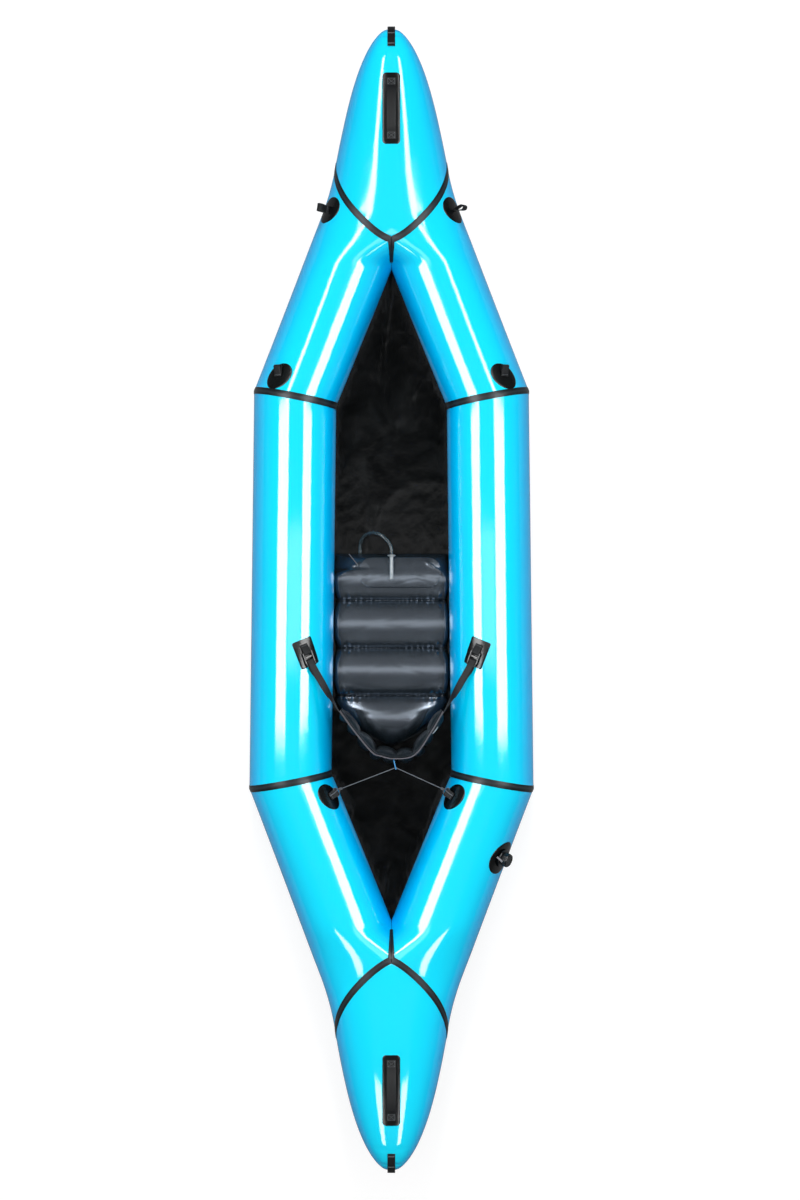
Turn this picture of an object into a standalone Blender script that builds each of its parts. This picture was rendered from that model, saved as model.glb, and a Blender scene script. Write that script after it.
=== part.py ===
"""Packraft: a long one-seat inflatable boat, modelled as its sewn and welded pieces.

Frame: metres, +Z up, +Y towards the bow, +X to starboard. The origin is on the ground under
the middle of the boat. A "reach" is a distance from the middle towards one end of the boat,
and an "angle" runs round a tube: 0 on its outer side, 90 on top, 180 on the cockpit side.
"""
import math

import bmesh
import bpy
import numpy as np
from mathutils import Vector
from mathutils.bvhtree import BVHTree

# Hull tubes
TUBE_RADIUS = 0.137
HULL_WALL = 0.001
SEAT_GAP = 0.0003
OUTER_ARCS = 12
INNER_ARCS = 10
TUBE_STATIONS = 9
NOSE_STATIONS = 9
SHOULDER_BLEND = 0.06
NOSE_TAPER_POWER = 1.33
NOSE_DEPTH_POWER = 2.6
SEAM_PER_OUT_SHARE = 0.65
SEAM_PER_UP_SHARE = 1.05

# Bow
BOW_MITRE_REACH = 0.672
BOW_HALF_GAP = 0.1835
BOW_CONVERGE_LENGTH = 0.508
BOW_FORK_OUT = 0.1173
BOW_JOIN_RADIUS = 0.140
BOW_MERGE_LENGTH = 0.090
BOW_NOSE_HALF_WIDTH = 0.172
BOW_NOSE_START = 0.263
BOW_NOSE_LENGTH = 0.677
BOW_RISE = 0.215

# Stern
STERN_MITRE_REACH = 0.600
STERN_HALF_GAP = 0.1990
STERN_CONVERGE_LENGTH = 0.574
STERN_FORK_OUT = 0.1087
STERN_JOIN_RADIUS = 0.1435
STERN_MERGE_LENGTH = 0.096
STERN_NOSE_HALF_WIDTH = 0.176
STERN_NOSE_START = 0.263
STERN_NOSE_LENGTH = 0.683
STERN_RISE = 0.190

# Seam tape
TAPE_HALF_WIDTH = 0.0115
TAPE_THICKNESS = 0.0008
SEAM_TAPE_REACH = 0.0145
CREASE_TAPE_BACK = 0.075
CREASE_COLUMNS = 3
TAPE_END_SHARE = 0.9

# Floor
FLOOR_THICKNESS = 0.0012
FLOOR_WING_ARCS = 3
FLOOR_END_BACK = 0.018

# Patches and webbing
PATCH_THICKNESS = 0.0012
DISC_RADIUS = 0.045
WEBBING_THICKNESS = 0.0015
LOOP_WIDTH = 0.025
LOOP_LENGTH = 0.044
LOOP_HEIGHT = 0.013
SIDE_LOOP_LENGTH = 0.036
REAR_LOOP_LENGTH = 0.033
SHOULDER_LOOP_SPREAD = 0.016
SHOULDER_DISC_BACK = 0.573
SHOULDER_DISC_ANGLE = 25.0
SIDE_DISC_PAST = 0.066
SIDE_DISC_OUTER = 0.0505
REAR_DISC_PAST = 0.048
REAR_DISC_INNER = 0.1325

# Grab handles
HANDLE_PATCH_WIDTH = 0.058
HANDLE_PATCH_LENGTH = 0.226
HANDLE_PATCH_CORNER = 0.012
HANDLE_WIDTH = 0.030
HANDLE_END_MARGIN = 0.015
HANDLE_SEWN = 0.026
HANDLE_ARCH = 0.014
BOW_HANDLE_BACK = 0.261
STERN_HANDLE_BACK = 0.267
TIP_LOOP_WIDTH = 0.025
TIP_LOOP_BACK = 0.062
TIP_LOOP_STAND = 0.0095

# Seat cushion
SEAT_FRONT = 0.158
SEAT_FIRST_SEAM = 0.000
SEAT_PITCH = 0.160
SEAT_CHAMBERS = 2
SEAT_REAR = -0.490
SEAT_HALF_WIDTH = 0.198
SEAT_SEAM_HEIGHT = 0.050
SEAT_CROWN_HEIGHT = 0.088
SEAT_SIDE_HEIGHT = 0.030
SEAT_SIDE_PULL = 0.008
SEAT_UNDER_ROUND = 0.012
SEAT_REAR_SQUARE = 1.6
SEAT_REAR_DRAW = 0.75

# Seat flap, inflation tube, mouthpiece and tie
FLAP_WIDTH = 0.270
FLAP_LENGTH = 0.104
FLAP_CORNER = 0.040
FLAP_THICKNESS = 0.0012
FLAP_MIDDLE = 0.095
FLAP_OUT = 0.028
HOSE_DIAMETER = 0.012
HOSE_ROUTE = (
    (-0.1070, 0.1584, 0.0220), (-0.1070, 0.1720, 0.0220), (-0.1060, 0.1900, 0.0290),
    (-0.1000, 0.2080, 0.0430), (-0.0870, 0.2210, 0.0600), (-0.0690, 0.2270, 0.0760),
    (-0.0500, 0.2250, 0.0890), (-0.0310, 0.2160, 0.0970), (-0.0140, 0.2000, 0.1000),
    (-0.0030, 0.1820, 0.1000), (0.0000, 0.1660, 0.1000), (0.0000, 0.1523, 0.1015),
)
MOUTH_FLANGE_RADIUS = 0.013
MOUTH_RADIUS = 0.0062
MOUTH_LENGTH = 0.066
MOUTH_BORE = 0.0035
NOZZLE_RADIUS = 0.0075
NOZZLE_LENGTH = 0.016
NOZZLE_BORE = 0.0020
TIE_DIAMETER = 0.003
TIE_ROUTE = (
    (-0.1130, 0.1180, 0.0778), (-0.1190, 0.1260, 0.0720), (-0.1270, 0.1360, 0.0645),
    (-0.1350, 0.1460, 0.0580), (-0.1430, 0.1560, 0.0500),
)

# Backrest
BACK_HALF_WIDTH = 0.163
BACK_DEPTH = 0.162
BACK_BOTTOM = -0.520
BACK_BEND_POWER = 1.8
BACK_TOP_HEIGHT = 0.262
BACK_END_LIFT = 0.135
BACK_HALF_THICKNESS = 0.022
BACK_FOOT_RADIUS = 0.012
BACK_RIM_HALF = 0.0035
BACK_CHANNELS = 8
BACK_CHANNEL_SHARE = 0.42
RIM_WIDTH = 0.016

# Strap anchors, buckles and straps
ANCHOR_REACH = -0.172
ANCHOR_OUT = 0.2800
ANCHOR_WIDTH = 0.069
ANCHOR_LENGTH = 0.093
ANCHOR_CORNER = 0.006
ANCHOR_TURN_DEG = 22.0
ANCHOR_LOOP_LENGTH = 0.034
STRAP_WIDTH = 0.025
STRAP_TAIL = 0.055
BUCKLE_WIDTH = 0.036
BUCKLE_LENGTH = 0.048
BUCKLE_THICKNESS = 0.0035
BUCKLE_RAIL = 0.0048
BUCKLE_BAR = 0.0060
BUCKLE_LIP = 0.0055

# Rear cords and their loop
CORD_DIAMETER = 0.003
LOOP_CORD_DIAMETER = 0.004
LOOP_CORD_LENGTH = 0.030
LOOP_CORD_HALF_WIDTH = 0.006

# Main valve
VALVE_PAST = 0.250
VALVE_ANGLE = 32.0
VALVE_PATCH_RADIUS = 0.056
VALVE_FLANGE_RADIUS = 0.031
VALVE_FLANGE_HEIGHT = 0.0035
VALVE_NECK_RADIUS = 0.0190
VALVE_NECK_BORE = 0.0150
VALVE_NECK_HEIGHT = 0.020
VALVE_NECK_DEPTH = 0.026
VALVE_SEAT_BORE = 0.0085
VALVE_SEAT_THICKNESS = 0.0030
CAP_RADIUS = 0.0235
CAP_WALL = 0.0025
CAP_LOBE_DEPTH = 0.0022
CAP_LOBES = 8
SEAL_THICKNESS = 0.0020
SEAL_BORE = 0.0110
POPPET_HEAD_RADIUS = 0.0125
POPPET_HEAD_HEIGHT = 0.0030
POPPET_STEM_RADIUS = 0.0030
POPPET_TOP = 0.0040
SPRING_RADIUS = 0.0066
SPRING_WIRE = 0.0010
SPRING_TURNS = 4

# Shared construction values
OVERRUN = 0.010
CLEAR_HEIGHT = 0.600
SHARP_DEG = 40.0
FINISHES = {
    "hull fabric": ((0.0, 0.552, 0.930, 1.0), 0.22, 0.0),
    "seam tape": ((0.016, 0.021, 0.026, 1.0), 0.45, 0.0),
    "floor fabric": ((0.008, 0.011, 0.013, 1.0), 0.30, 0.0),
    "cushion fabric": ((0.030, 0.037, 0.043, 1.0), 0.42, 0.0),
    "webbing": ((0.012, 0.013, 0.015, 1.0), 0.70, 0.0),
    "moulded plastic": ((0.010, 0.011, 0.012, 1.0), 0.35, 0.0),
    "grey cord": ((0.200, 0.200, 0.210, 1.0), 0.65, 0.0),
    "blue cord": ((0.020, 0.250, 0.600, 1.0), 0.60, 0.0),
    "clear hose": ((0.550, 0.700, 0.760, 1.0), 0.15, 0.0),
    "white plastic": ((0.750, 0.780, 0.790, 1.0), 0.25, 0.0),
    "spring steel": ((0.600, 0.600, 0.610, 1.0), 0.25, 1.0),
}

CENTRE_HEIGHT = FLOOR_THICKNESS + SEAT_GAP + TUBE_RADIUS


def clear_scene():
    for thing in list(bpy.data.objects):
        bpy.data.objects.remove(thing, do_unlink=True)


def own_material(name, finish):
    """A Principled material of this finish that belongs to one sub-part."""
    colour, roughness, metallic = FINISHES[finish]
    material = bpy.data.materials.new(name)
    material.use_nodes = True
    shader = material.node_tree.nodes["Principled BSDF"]
    shader.inputs["Base Color"].default_value = colour
    shader.inputs["Roughness"].default_value = roughness
    shader.inputs["Metallic"].default_value = metallic
    material.diffuse_color = colour
    return material


def solid(name, points, faces, finish):
    """One sub-part from its corner points and faces, with every face turned outwards."""
    mesh = bpy.data.meshes.new(name)
    work = bmesh.new()
    corners = [work.verts.new(Vector(point)) for point in points]
    for face in faces:
        work.faces.new([corners[index] for index in face])
    bmesh.ops.remove_doubles(work, verts=work.verts, dist=HULL_WALL * 0.001)
    bmesh.ops.triangulate(work, faces=work.faces[:], quad_method="SHORT_EDGE")
    bmesh.ops.recalc_face_normals(work, faces=work.faces)
    work.to_mesh(mesh)
    work.free()
    mesh.shade_smooth()
    mesh.set_sharp_from_angle(angle=math.radians(SHARP_DEG))
    mesh.materials.append(own_material(name, finish))
    piece = bpy.data.objects.new(name, mesh)
    bpy.context.collection.objects.link(piece)
    return piece


def grid_faces(rows, columns, wrap, start=0):
    """Quads between neighbouring rows of points; wrap joins the last column to the first."""
    cells = columns if wrap else columns - 1
    faces = []
    for row in range(rows - 1):
        for column in range(cells):
            here = start + row * columns + column
            beside = start + row * columns + (column + 1) % columns
            faces.append((here, beside, beside + columns, here + columns))
    return faces


def walled_tube(name, outer, inner, finish, tip=False):
    """A sleeve between two grids of rings; its rims are bridged, and a tip is left closed."""
    rows, columns, _ = outer.shape
    points = np.concatenate([outer.reshape(-1, 3), inner.reshape(-1, 3)])
    count = rows * columns
    faces = grid_faces(rows, columns, True) + grid_faces(rows, columns, True, count)
    ends = [0] if tip else [0, rows - 1]
    for row in ends:
        for column in range(columns):
            here = row * columns + column
            beside = row * columns + (column + 1) % columns
            faces.append((here, beside, beside + count, here + count))
    if tip:
        faces = [face for face in faces if max(face) < 2 * count]
        faces = close_tips(faces, rows, columns, (0, count))
    return solid(name, points, faces, finish)


def close_tips(faces, rows, columns, starts):
    """The last ring of a tip is one point, so its quads become triangles."""
    closed = []
    for face in faces:
        merged = []
        for index in face:
            for start in starts:
                first = start + (rows - 1) * columns
                if first <= index < first + columns:
                    index = first
            if index not in merged:
                merged.append(index)
        closed.append(tuple(merged))
    return closed


def highest_under(points, faces, normals, trees):
    """How far the surfaces in trees stand above a sheet, at samples spread over its faces."""
    most = 0.0
    cells = 12
    for face in faces:
        for third in range(2, len(face)):
            corners = [face[0], face[third - 1], face[third]]
            for row in range(cells + 1):
                for column in range(cells + 1 - row):
                    shares = (row / cells, column / cells, 1.0 - (row + column) / cells)
                    spot = sum((points[c] * s for c, s in zip(corners, shares)), Vector())
                    up = sum((normals[c] * s for c, s in zip(corners, shares)), Vector())
                    up.normalize()
                    for tree in trees:
                        found = tree.ray_cast(spot + up * OVERRUN, -up, OVERRUN * 2.0)[0]
                        if found is not None:
                            most = max(most, (found - spot).dot(up))
    return most


def thick_sheet(name, points, faces, near, far, finish, normals=None, trees=()):
    """A closed solid between two offsets, near and far, of an open sheet of faces. Both are
    raised until the sheet clears the surfaces in trees."""
    work = bmesh.new()
    corners = [work.verts.new(Vector(point)) for point in points]
    for face in faces:
        work.faces.new([corners[index] for index in face])
    work.verts.index_update()
    bmesh.ops.triangulate(work, faces=work.faces[:], quad_method="SHORT_EDGE")
    work.normal_update()
    faces = [tuple(vert.index for vert in face.verts) for face in work.faces]
    if normals is None:
        normals = [Vector(c.normal) * c.calc_shell_factor() for c in corners]
    lift = highest_under([c.co.copy() for c in corners], faces, [Vector(n) for n in normals], trees)
    near += lift
    far += lift
    low = [c.co + Vector(n) * near for c, n in zip(corners, normals)]
    high = [c.co + Vector(n) * far for c, n in zip(corners, normals)]
    walls = [tuple(vert.index for vert in edge.verts) for edge in work.edges if edge.is_boundary]
    work.free()
    count = len(low)
    closed = list(faces) + [tuple(index + count for index in face) for face in faces]
    closed += [(a, b, b + count, a + count) for a, b in walls]
    return solid(name, low + high, closed, finish)


def solve(change, low, high):
    """The place between low and high where change passes zero, found by halving."""
    sign = change(low) > 0.0
    for _ in range(48):
        middle = (low + high) / 2.0
        if (change(middle) > 0.0) == sign:
            low = middle
        else:
            high = middle
    return (low + high) / 2.0


class HullEnd:
    """One end of the hull. Two tubes leave the side tubes at a mitre, converge until they
    touch, and merge under a V seam into one nose. Its shape is worked out in (out, reach, up)."""

    def __init__(self, way, mitre, half_gap, converge_length, fork_out, join_radius,
                 merge_length, nose_half_width, nose_start, nose_length, rise):
        self.way = way
        self.mitre = mitre
        self.mitre_out = half_gap + TUBE_RADIUS
        self.lean = (self.mitre_out - fork_out) / converge_length
        converge = math.atan(self.lean)
        self.mitre_lean = math.tan(converge / 2.0)
        self.stretch = 1.0 / math.cos(converge)
        self.join_radius = join_radius
        self.fork = mitre + converge_length
        self.merge = self.fork + merge_length
        self.nose_half_width = nose_half_width
        self.nose_reach = self.fork + nose_start
        self.tip = self.fork + nose_length
        self.rise = rise
        self.contact = solve(lambda r: self.line_out(r) - self.stretch * self.radius(r),
                             mitre, self.fork)
        self.fork_angle = self.crown_angle(self.fork, 0.0)
        self.fork_up = self.half_height(self.fork, 0.0) * math.sin(self.fork_angle)

    def radius(self, reach):
        share = min(max((reach - self.mitre) / (self.fork - self.mitre), 0.0), 1.0)
        return TUBE_RADIUS + (self.join_radius - TUBE_RADIUS) * share

    def line_out(self, reach):
        return self.mitre_out - self.lean * (reach - self.mitre)

    def centre_out(self, reach):
        """The tube's centre line, straight until the tubes touch and then eased to the middle."""
        share = min(max((reach - self.contact) / (self.merge - self.contact), 0.0), 1.0)
        return self.line_out(reach) * (1.0 - share * share * (3.0 - 2.0 * share))

    def centre_up(self, reach):
        share = max((reach - self.mitre) / (self.tip - self.mitre), 0.0)
        return CENTRE_HEIGHT + self.rise * share * share

    def half_width(self, reach, inset):
        """Half the boat's outline: the straight tube's outer side, blended into the nose."""
        tube = self.line_out(reach) + self.stretch * (self.radius(reach) - inset)
        length = self.tip - inset * 2.0 - self.nose_reach
        share = min(max((reach - self.nose_reach) / length, 0.0), 1.0)
        nose = (self.nose_half_width - inset) * math.sqrt(1.0 - share ** NOSE_TAPER_POWER)
        overlap = max(SHOULDER_BLEND - abs(tube - nose), 0.0) / SHOULDER_BLEND
        return max(tube, nose) + overlap * overlap * SHOULDER_BLEND * 0.25

    def half_height(self, reach, inset):
        length = self.tip - inset * 2.0 - self.fork
        share = min(max((reach - self.fork) / length, 0.0), 1.0)
        return (self.radius(reach) - inset) * math.sqrt(1.0 - share ** NOSE_DEPTH_POWER)

    def point(self, reach, angle, inset):
        out = self.centre_out(reach)
        wide = self.half_width(reach, inset) - out
        up = self.half_height(reach, inset)
        return (out + wide * math.cos(angle), reach, self.centre_up(reach) + up * math.sin(angle))

    def crown_angle(self, reach, inset):
        """The angle at which the section crosses the middle plane of the boat."""
        out = self.centre_out(reach)
        wide = self.half_width(reach, inset) - out
        return math.acos(max(-out / wide, -1.0)) if wide > 0.0 else math.pi / 2.0

    def mitre_at(self, angle, inset):
        def past(reach):
            out = self.point(reach, angle, inset)[0]
            return reach - self.mitre - self.mitre_lean * (out - self.mitre_out)
        return solve(past, self.mitre - TUBE_RADIUS, self.mitre + TUBE_RADIUS)

    def seam_past(self, reach, angle, inset):
        """How far a point of the surface lies past the V seam that joins tube and nose."""
        out, _, up = self.point(reach, angle, inset)
        down = self.fork_up - abs(up - self.centre_up(reach))
        return reach - self.fork - SEAM_PER_OUT_SHARE * out - SEAM_PER_UP_SHARE * down

    def seam_at(self, angle, inset):
        return solve(lambda r: self.seam_past(r, angle, inset), self.contact, self.tip - OVERRUN)

    def middle_at(self, angle, inset):
        """Where a line along the tube reaches the middle plane."""
        return solve(lambda r: self.point(r, angle, inset)[0] - SEAT_GAP / 2.0,
                     self.mitre, self.merge)

    def angles(self):
        """The lines along a tube: the fork's, then every arc over the outer side down to the
        other fork's, and on round the cockpit side."""
        quarter = math.pi / 2.0
        outer = [quarter - math.pi * step / OUTER_ARCS for step in range(OUTER_ARCS + 1)]
        inner_span = 2.0 * (math.pi - self.fork_angle)
        inner = [-self.fork_angle - inner_span * step / INNER_ARCS for step in range(1, INNER_ARCS)]
        return [self.fork_angle] + outer + [-self.fork_angle] + inner

    def tube_rim(self, angle, inset):
        seam = self.seam_at(angle, inset) - SEAT_GAP
        if abs(angle) > math.pi / 2.0:
            return min(seam, self.middle_at(angle, inset))
        return seam

    def tube_grid(self, inset):
        """Rings of the converging tube from its mitre to the rim at the V seam."""
        grid = []
        angles = self.angles()
        starts = [self.mitre_at(angle, inset) + SEAT_GAP / 2.0 for angle in angles]
        ends = [self.tube_rim(angle, inset) for angle in angles]
        backs = [CREASE_TAPE_BACK if abs(angle) > math.pi / 2.0 + HULL_WALL else FLOOR_END_BACK
                 for angle in angles]
        even = TUBE_STATIONS - 2
        for station in range(even):
            share = station / (even - 1)
            grid.append([self.point(start + (end - back - start) * share, angle, inset)
                         for angle, start, end, back in zip(angles, starts, ends, backs)])
        for back in (SEAM_TAPE_REACH, 0.0):
            grid.append([self.point(end - back, angle, inset)
                         for angle, end in zip(angles, ends)])
        return np.array(grid)

    def mitre_ring(self, inset):
        return np.array([self.point(self.mitre_at(angle, inset), angle, inset)
                         for angle in self.angles()])

    def nose_column(self, angle, inset):
        if abs(angle) >= self.fork_angle:
            sign = math.copysign(1.0, angle)
            rim = solve(lambda r: self.seam_past(r, sign * self.crown_angle(r, inset), inset),
                        self.contact + OVERRUN, self.merge)
            share = sign
        else:
            rim = self.seam_at(angle, inset)
            share = angle / self.crown_angle(rim, inset)
        rim += SEAT_GAP
        tip = self.tip - inset * 2.0
        reaches = [rim]
        rim += SEAM_TAPE_REACH
        for station in range(NOSE_STATIONS):
            along = math.sin(math.pi / 2.0 * station / (NOSE_STATIONS - 1))
            reaches.append(rim + (tip - rim) * along)
        column = [self.point(reach, share * self.crown_angle(reach, inset), inset)
                  for reach in reaches]
        column[-1] = (0.0, tip, self.centre_up(tip))
        return column

    def nose_grid(self, inset):
        """Rings of the nose from the V seam to the tip, over both sides of the boat."""
        angles = self.angles()[:OUTER_ARCS + 3]
        right = np.array([self.nose_column(angle, inset) for angle in angles])
        right[0, :, 0] = 0.0
        right[-1, :, 0] = 0.0
        left = right[-2:0:-1] * np.array([-1.0, 1.0, 1.0])
        return np.concatenate([right, left]).transpose(1, 0, 2)

    def world(self, points, side=1):
        """Points of this end in the boat's frame; side -1 is to port."""
        return np.asarray(points) * np.array([side, self.way, 1.0])


def along_line(grid, column, distance, from_last):
    """The point at a distance from one end of a grid's column, on its first straight run."""
    near, next_one = (grid[-1, column], grid[-2, column]) if from_last else (
        grid[0, column], grid[1, column])
    run = next_one - near
    return near + run * (distance / np.linalg.norm(run))


BOW = HullEnd(1, BOW_MITRE_REACH, BOW_HALF_GAP, BOW_CONVERGE_LENGTH, BOW_FORK_OUT,
              BOW_JOIN_RADIUS, BOW_MERGE_LENGTH, BOW_NOSE_HALF_WIDTH, BOW_NOSE_START,
              BOW_NOSE_LENGTH, BOW_RISE)
STERN = HullEnd(-1, STERN_MITRE_REACH, STERN_HALF_GAP, STERN_CONVERGE_LENGTH, STERN_FORK_OUT,
                STERN_JOIN_RADIUS, STERN_MERGE_LENGTH, STERN_NOSE_HALF_WIDTH, STERN_NOSE_START,
                STERN_NOSE_LENGTH, STERN_RISE)
SIDES = (("left", -1), ("right", 1))
ENDS = (("bow", "front", BOW), ("stern", "rear", STERN))
FULL_OUTER = OUTER_ARCS + 3


def skin(piece):
    """A search tree over a piece's evaluated surface, for laying things on it."""
    return BVHTree.FromObject(piece, bpy.context.evaluated_depsgraph_get())


def build_hull():
    """Two noses, four converging tubes and two side tubes, all hollow sleeves of coated cloth."""
    skins = {}
    for end_name, part_name, end in ENDS:
        nose = walled_tube(end_name + "_nose", end.world(end.nose_grid(0.0)),
                           end.world(end.nose_grid(HULL_WALL)), "hull fabric", tip=True)
        skins[end_name + "_nose"] = skin(nose)
        for side_name, side in SIDES:
            name = part_name + "_" + side_name + "_tube"
            tube = walled_tube(name, end.world(end.tube_grid(0.0), side),
                               end.world(end.tube_grid(HULL_WALL), side), "hull fabric")
            skins[name] = skin(tube)
    for side_name, side in SIDES:
        name = "mid_" + side_name + "_tube"
        rings = []
        for inset in (0.0, HULL_WALL):
            front = BOW.world(BOW.mitre_ring(inset), side)
            rear = STERN.world(STERN.mitre_ring(inset), side)
            short = np.array([0.0, SEAT_GAP / 2.0, 0.0])
            rings.append(np.array([rear + short, front - short]))
        tube = walled_tube(name, rings[0], rings[1], "hull fabric")
        skins[name] = skin(tube)
    return skins


def build_mitre_tapes(skins):
    """A band of tape over each mitre seam, open at the bottom where the floor is welded on."""
    for _, part_name, end in ENDS:
        other = STERN if end is BOW else BOW
        grid = end.tube_grid(0.0)
        ring = end.mitre_ring(0.0)
        far_ring = other.mitre_ring(0.0) * np.array([1.0, -1.0, 1.0])
        columns = list(range(FULL_OUTER - 1, len(ring))) + list(range(0, FULL_OUTER - 1))
        edge = 1 + OUTER_ARCS - FLOOR_WING_ARCS
        columns = columns[:columns.index(edge)]
        rows = [[], [], []]
        for column in columns:
            run = far_ring[column] - ring[column]
            rows[0].append(ring[column] + run * (TAPE_HALF_WIDTH / np.linalg.norm(run)))
            rows[1].append(ring[column])
            rows[2].append(along_line(grid, column, TAPE_HALF_WIDTH, False))
        run = far_ring[edge] - ring[edge]
        last = [ring[edge] + run * (TAPE_HALF_WIDTH / np.linalg.norm(run)), ring[edge],
                along_line(grid, edge, TAPE_HALF_WIDTH, False)]
        for row, end_point in zip(rows, last):
            row.append(row[-1] + (end_point - row[-1]) * TAPE_END_SHARE)
        sheet = np.array(rows)
        for side_name, side in SIDES:
            faces = grid_faces(3, sheet.shape[1], False)
            if side * end.way < 0:
                faces = [face[::-1] for face in faces]
            trees = [skins[part_name + "_" + side_name + "_tube"],
                     skins["mid_" + side_name + "_tube"]]
            thick_sheet(part_name + "_" + side_name + "_mitre_tape",
                        end.world(sheet.reshape(-1, 3), side), faces,
                        SEAT_GAP, SEAT_GAP + TAPE_THICKNESS, "seam tape", trees=trees)


def build_nose_tapes(skins):
    """A Y of tape at each end: round the V seam, with a tail down the crease between tubes."""
    for end_name, part_name, end in ENDS:
        tube = end.tube_grid(0.0)
        nose = end.nose_grid(0.0)
        total = tube.shape[1]
        crease = list(range(total - CREASE_COLUMNS, total))
        seam = list(range(FULL_OUTER))
        columns = crease + seam
        points = []
        faces = []
        for side in (1, -1):
            rim = [tube[-1, c] * np.array([0.0, 1.0, 1.0]) for c in crease]
            rim += [(tube[-1, c] + nose[0, c]) / 2.0 for c in seam]
            rim[CREASE_COLUMNS][0] = 0.0
            rim[-1][0] = 0.0
            rows = [[tube[-3, c] for c in crease + seam[:1]], [tube[-2, c] for c in columns],
                    rim, [nose[1, c] for c in seam]]
            first = [len(points)]
            for row in rows:
                points += [point * np.array([side, 1.0, 1.0]) for point in row]
                first.append(len(points))
            skips = (0, 0, CREASE_COLUMNS)
            spans = (CREASE_COLUMNS, len(columns) - 1, len(seam) - 1)
            for row, (skip, span) in enumerate(zip(skips, spans)):
                for k in range(span):
                    here = first[row] + skip + k
                    ahead = first[row + 1] + k
                    face = (here, here + 1, ahead + 1, ahead)
                    faces.append(face if side * end.way > 0 else face[::-1])
        points, faces = welded(end.world(points), faces)
        trees = [skins[end_name + "_nose"]]
        trees += [skins[part_name + "_" + side_name + "_tube"] for side_name, _ in SIDES]
        thick_sheet(end_name + "_nose_tape", points, faces,
                    SEAT_GAP, SEAT_GAP + TAPE_THICKNESS, "seam tape", trees=trees)


def welded(points, faces):
    """The same sheet with points that coincide made one."""
    places = {}
    order = []
    kept = []
    for point in points:
        key = tuple(np.round(np.asarray(point) / (HULL_WALL * 0.01)).astype(int))
        if key not in places:
            places[key] = len(kept)
            kept.append(point)
        order.append(places[key])
    return kept, [tuple(order[index] for index in face) for face in faces]


def build_floor(skins):
    """Three panels under the boat, and an edge strip each side that wraps up the outer lower
    side of the tubes. All are welded to the tubes along their lowest lines."""
    bottom = OUTER_ARCS // 2 + 1 + OUTER_ARCS // 2
    columns = [bottom - step for step in range(FLOOR_WING_ARCS + 1)]
    step_angle = math.pi / OUTER_ARCS
    tilts = [-math.pi / 2.0 + step_angle * step for step in range(FLOOR_WING_ARCS + 1)]
    lean = [(math.cos(tilt), 0.0, math.sin(tilt)) for tilt in tilts]
    edges = []
    mitres = {}
    for end, name in ((STERN, "floor_rear"), (BOW, "floor_front")):
        grid = end.tube_grid(0.0)[:-2, columns]
        grid[0] = end.mitre_ring(0.0)[columns]
        mitres[name] = end.world(grid[0, 0])
        edges += list(end.world(grid)[::-1]) if end is STERN else list(end.world(grid))
        rows = [[point, point * np.array([0.0, 1.0, 1.0]), point * np.array([-1.0, 1.0, 1.0])]
                for point in end.world(grid[:, 0])]
        last = end.fork - FLOOR_END_BACK - SEAM_TAPE_REACH
        rows[-1][1] = end.world((0.0, last, end.centre_up(last) - end.radius(last)))
        build_floor_panel(name, np.array(rows), end.way)
    rear, front = mitres["floor_rear"], mitres["floor_front"]
    rows = [[point, point * np.array([0.0, 1.0, 1.0]), point * np.array([-1.0, 1.0, 1.0])]
            for point in (rear + (0.0, SEAT_GAP, 0.0), front - (0.0, SEAT_GAP, 0.0))]
    build_floor_panel("floor_middle", np.array(rows), 1)
    trees = [tree for name, tree in skins.items() if name.endswith("_tube")]
    sheet = np.array(edges)
    faces = grid_faces(sheet.shape[0], sheet.shape[1], False)
    for side_name, side in SIDES:
        flip = np.array([side, 1.0, 1.0])
        thick_sheet("floor_edge_" + side_name, (sheet * flip).reshape(-1, 3), faces, SEAT_GAP,
                    SEAT_GAP + FLOOR_THICKNESS, "floor fabric",
                    np.tile(np.array(lean) * flip, (sheet.shape[0], 1)), trees)


def build_floor_panel(name, rows, way):
    """A panel between the lowest lines of the two tubes, one clearance in from each edge strip."""
    for row in rows:
        row[0, 0] -= SEAT_GAP
        row[2, 0] += SEAT_GAP
    faces = grid_faces(rows.shape[0], rows.shape[1], False)
    down = np.tile(np.array([0.0, 0.0, -1.0]), (rows.shape[0] * rows.shape[1], 1))
    thick_sheet(name, rows.reshape(-1, 3), faces, SEAT_GAP, SEAT_GAP + FLOOR_THICKNESS,
                "floor fabric", down)


class Place:
    """A spot on a surface: its origin, an in-surface direction, the one across it and the normal."""

    def __init__(self, origin, along, normal):
        self.origin = Vector(origin)
        self.normal = Vector(normal).normalized()
        along = Vector(along)
        self.along = (along - self.normal * along.dot(self.normal)).normalized()
        self.across = self.along.cross(self.normal)

    def at(self, along, across, up):
        return (self.origin + self.along * along + self.across * across + self.normal * up)

    def turned(self, degrees):
        turn = math.radians(degrees)
        return Place(self.origin, self.along * math.cos(turn) + self.across * math.sin(turn),
                     self.normal)


def found_from_above(tree, out, forward, along=(0.0, 1.0, 0.0)):
    """The place on a surface straight below a point of the plan view."""
    spot, normal, _, _ = tree.ray_cast(Vector((out, forward, CLEAR_HEIGHT)), Vector((0, 0, -1)))
    return Place(spot, along, normal)


def rounded_outline(length, width, corner, arcs=4):
    """A rectangle with round corners, as points in (along, across)."""
    points = []
    for quarter in range(4):
        corner_along = (length / 2.0 - corner) * (1 if quarter in (0, 3) else -1)
        corner_across = (width / 2.0 - corner) * (1 if quarter in (0, 1) else -1)
        for step in range(arcs + 1):
            turn = math.pi / 2.0 * (quarter + step / arcs)
            points.append((corner_along + corner * math.cos(turn),
                           corner_across + corner * math.sin(turn)))
    return points


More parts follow.
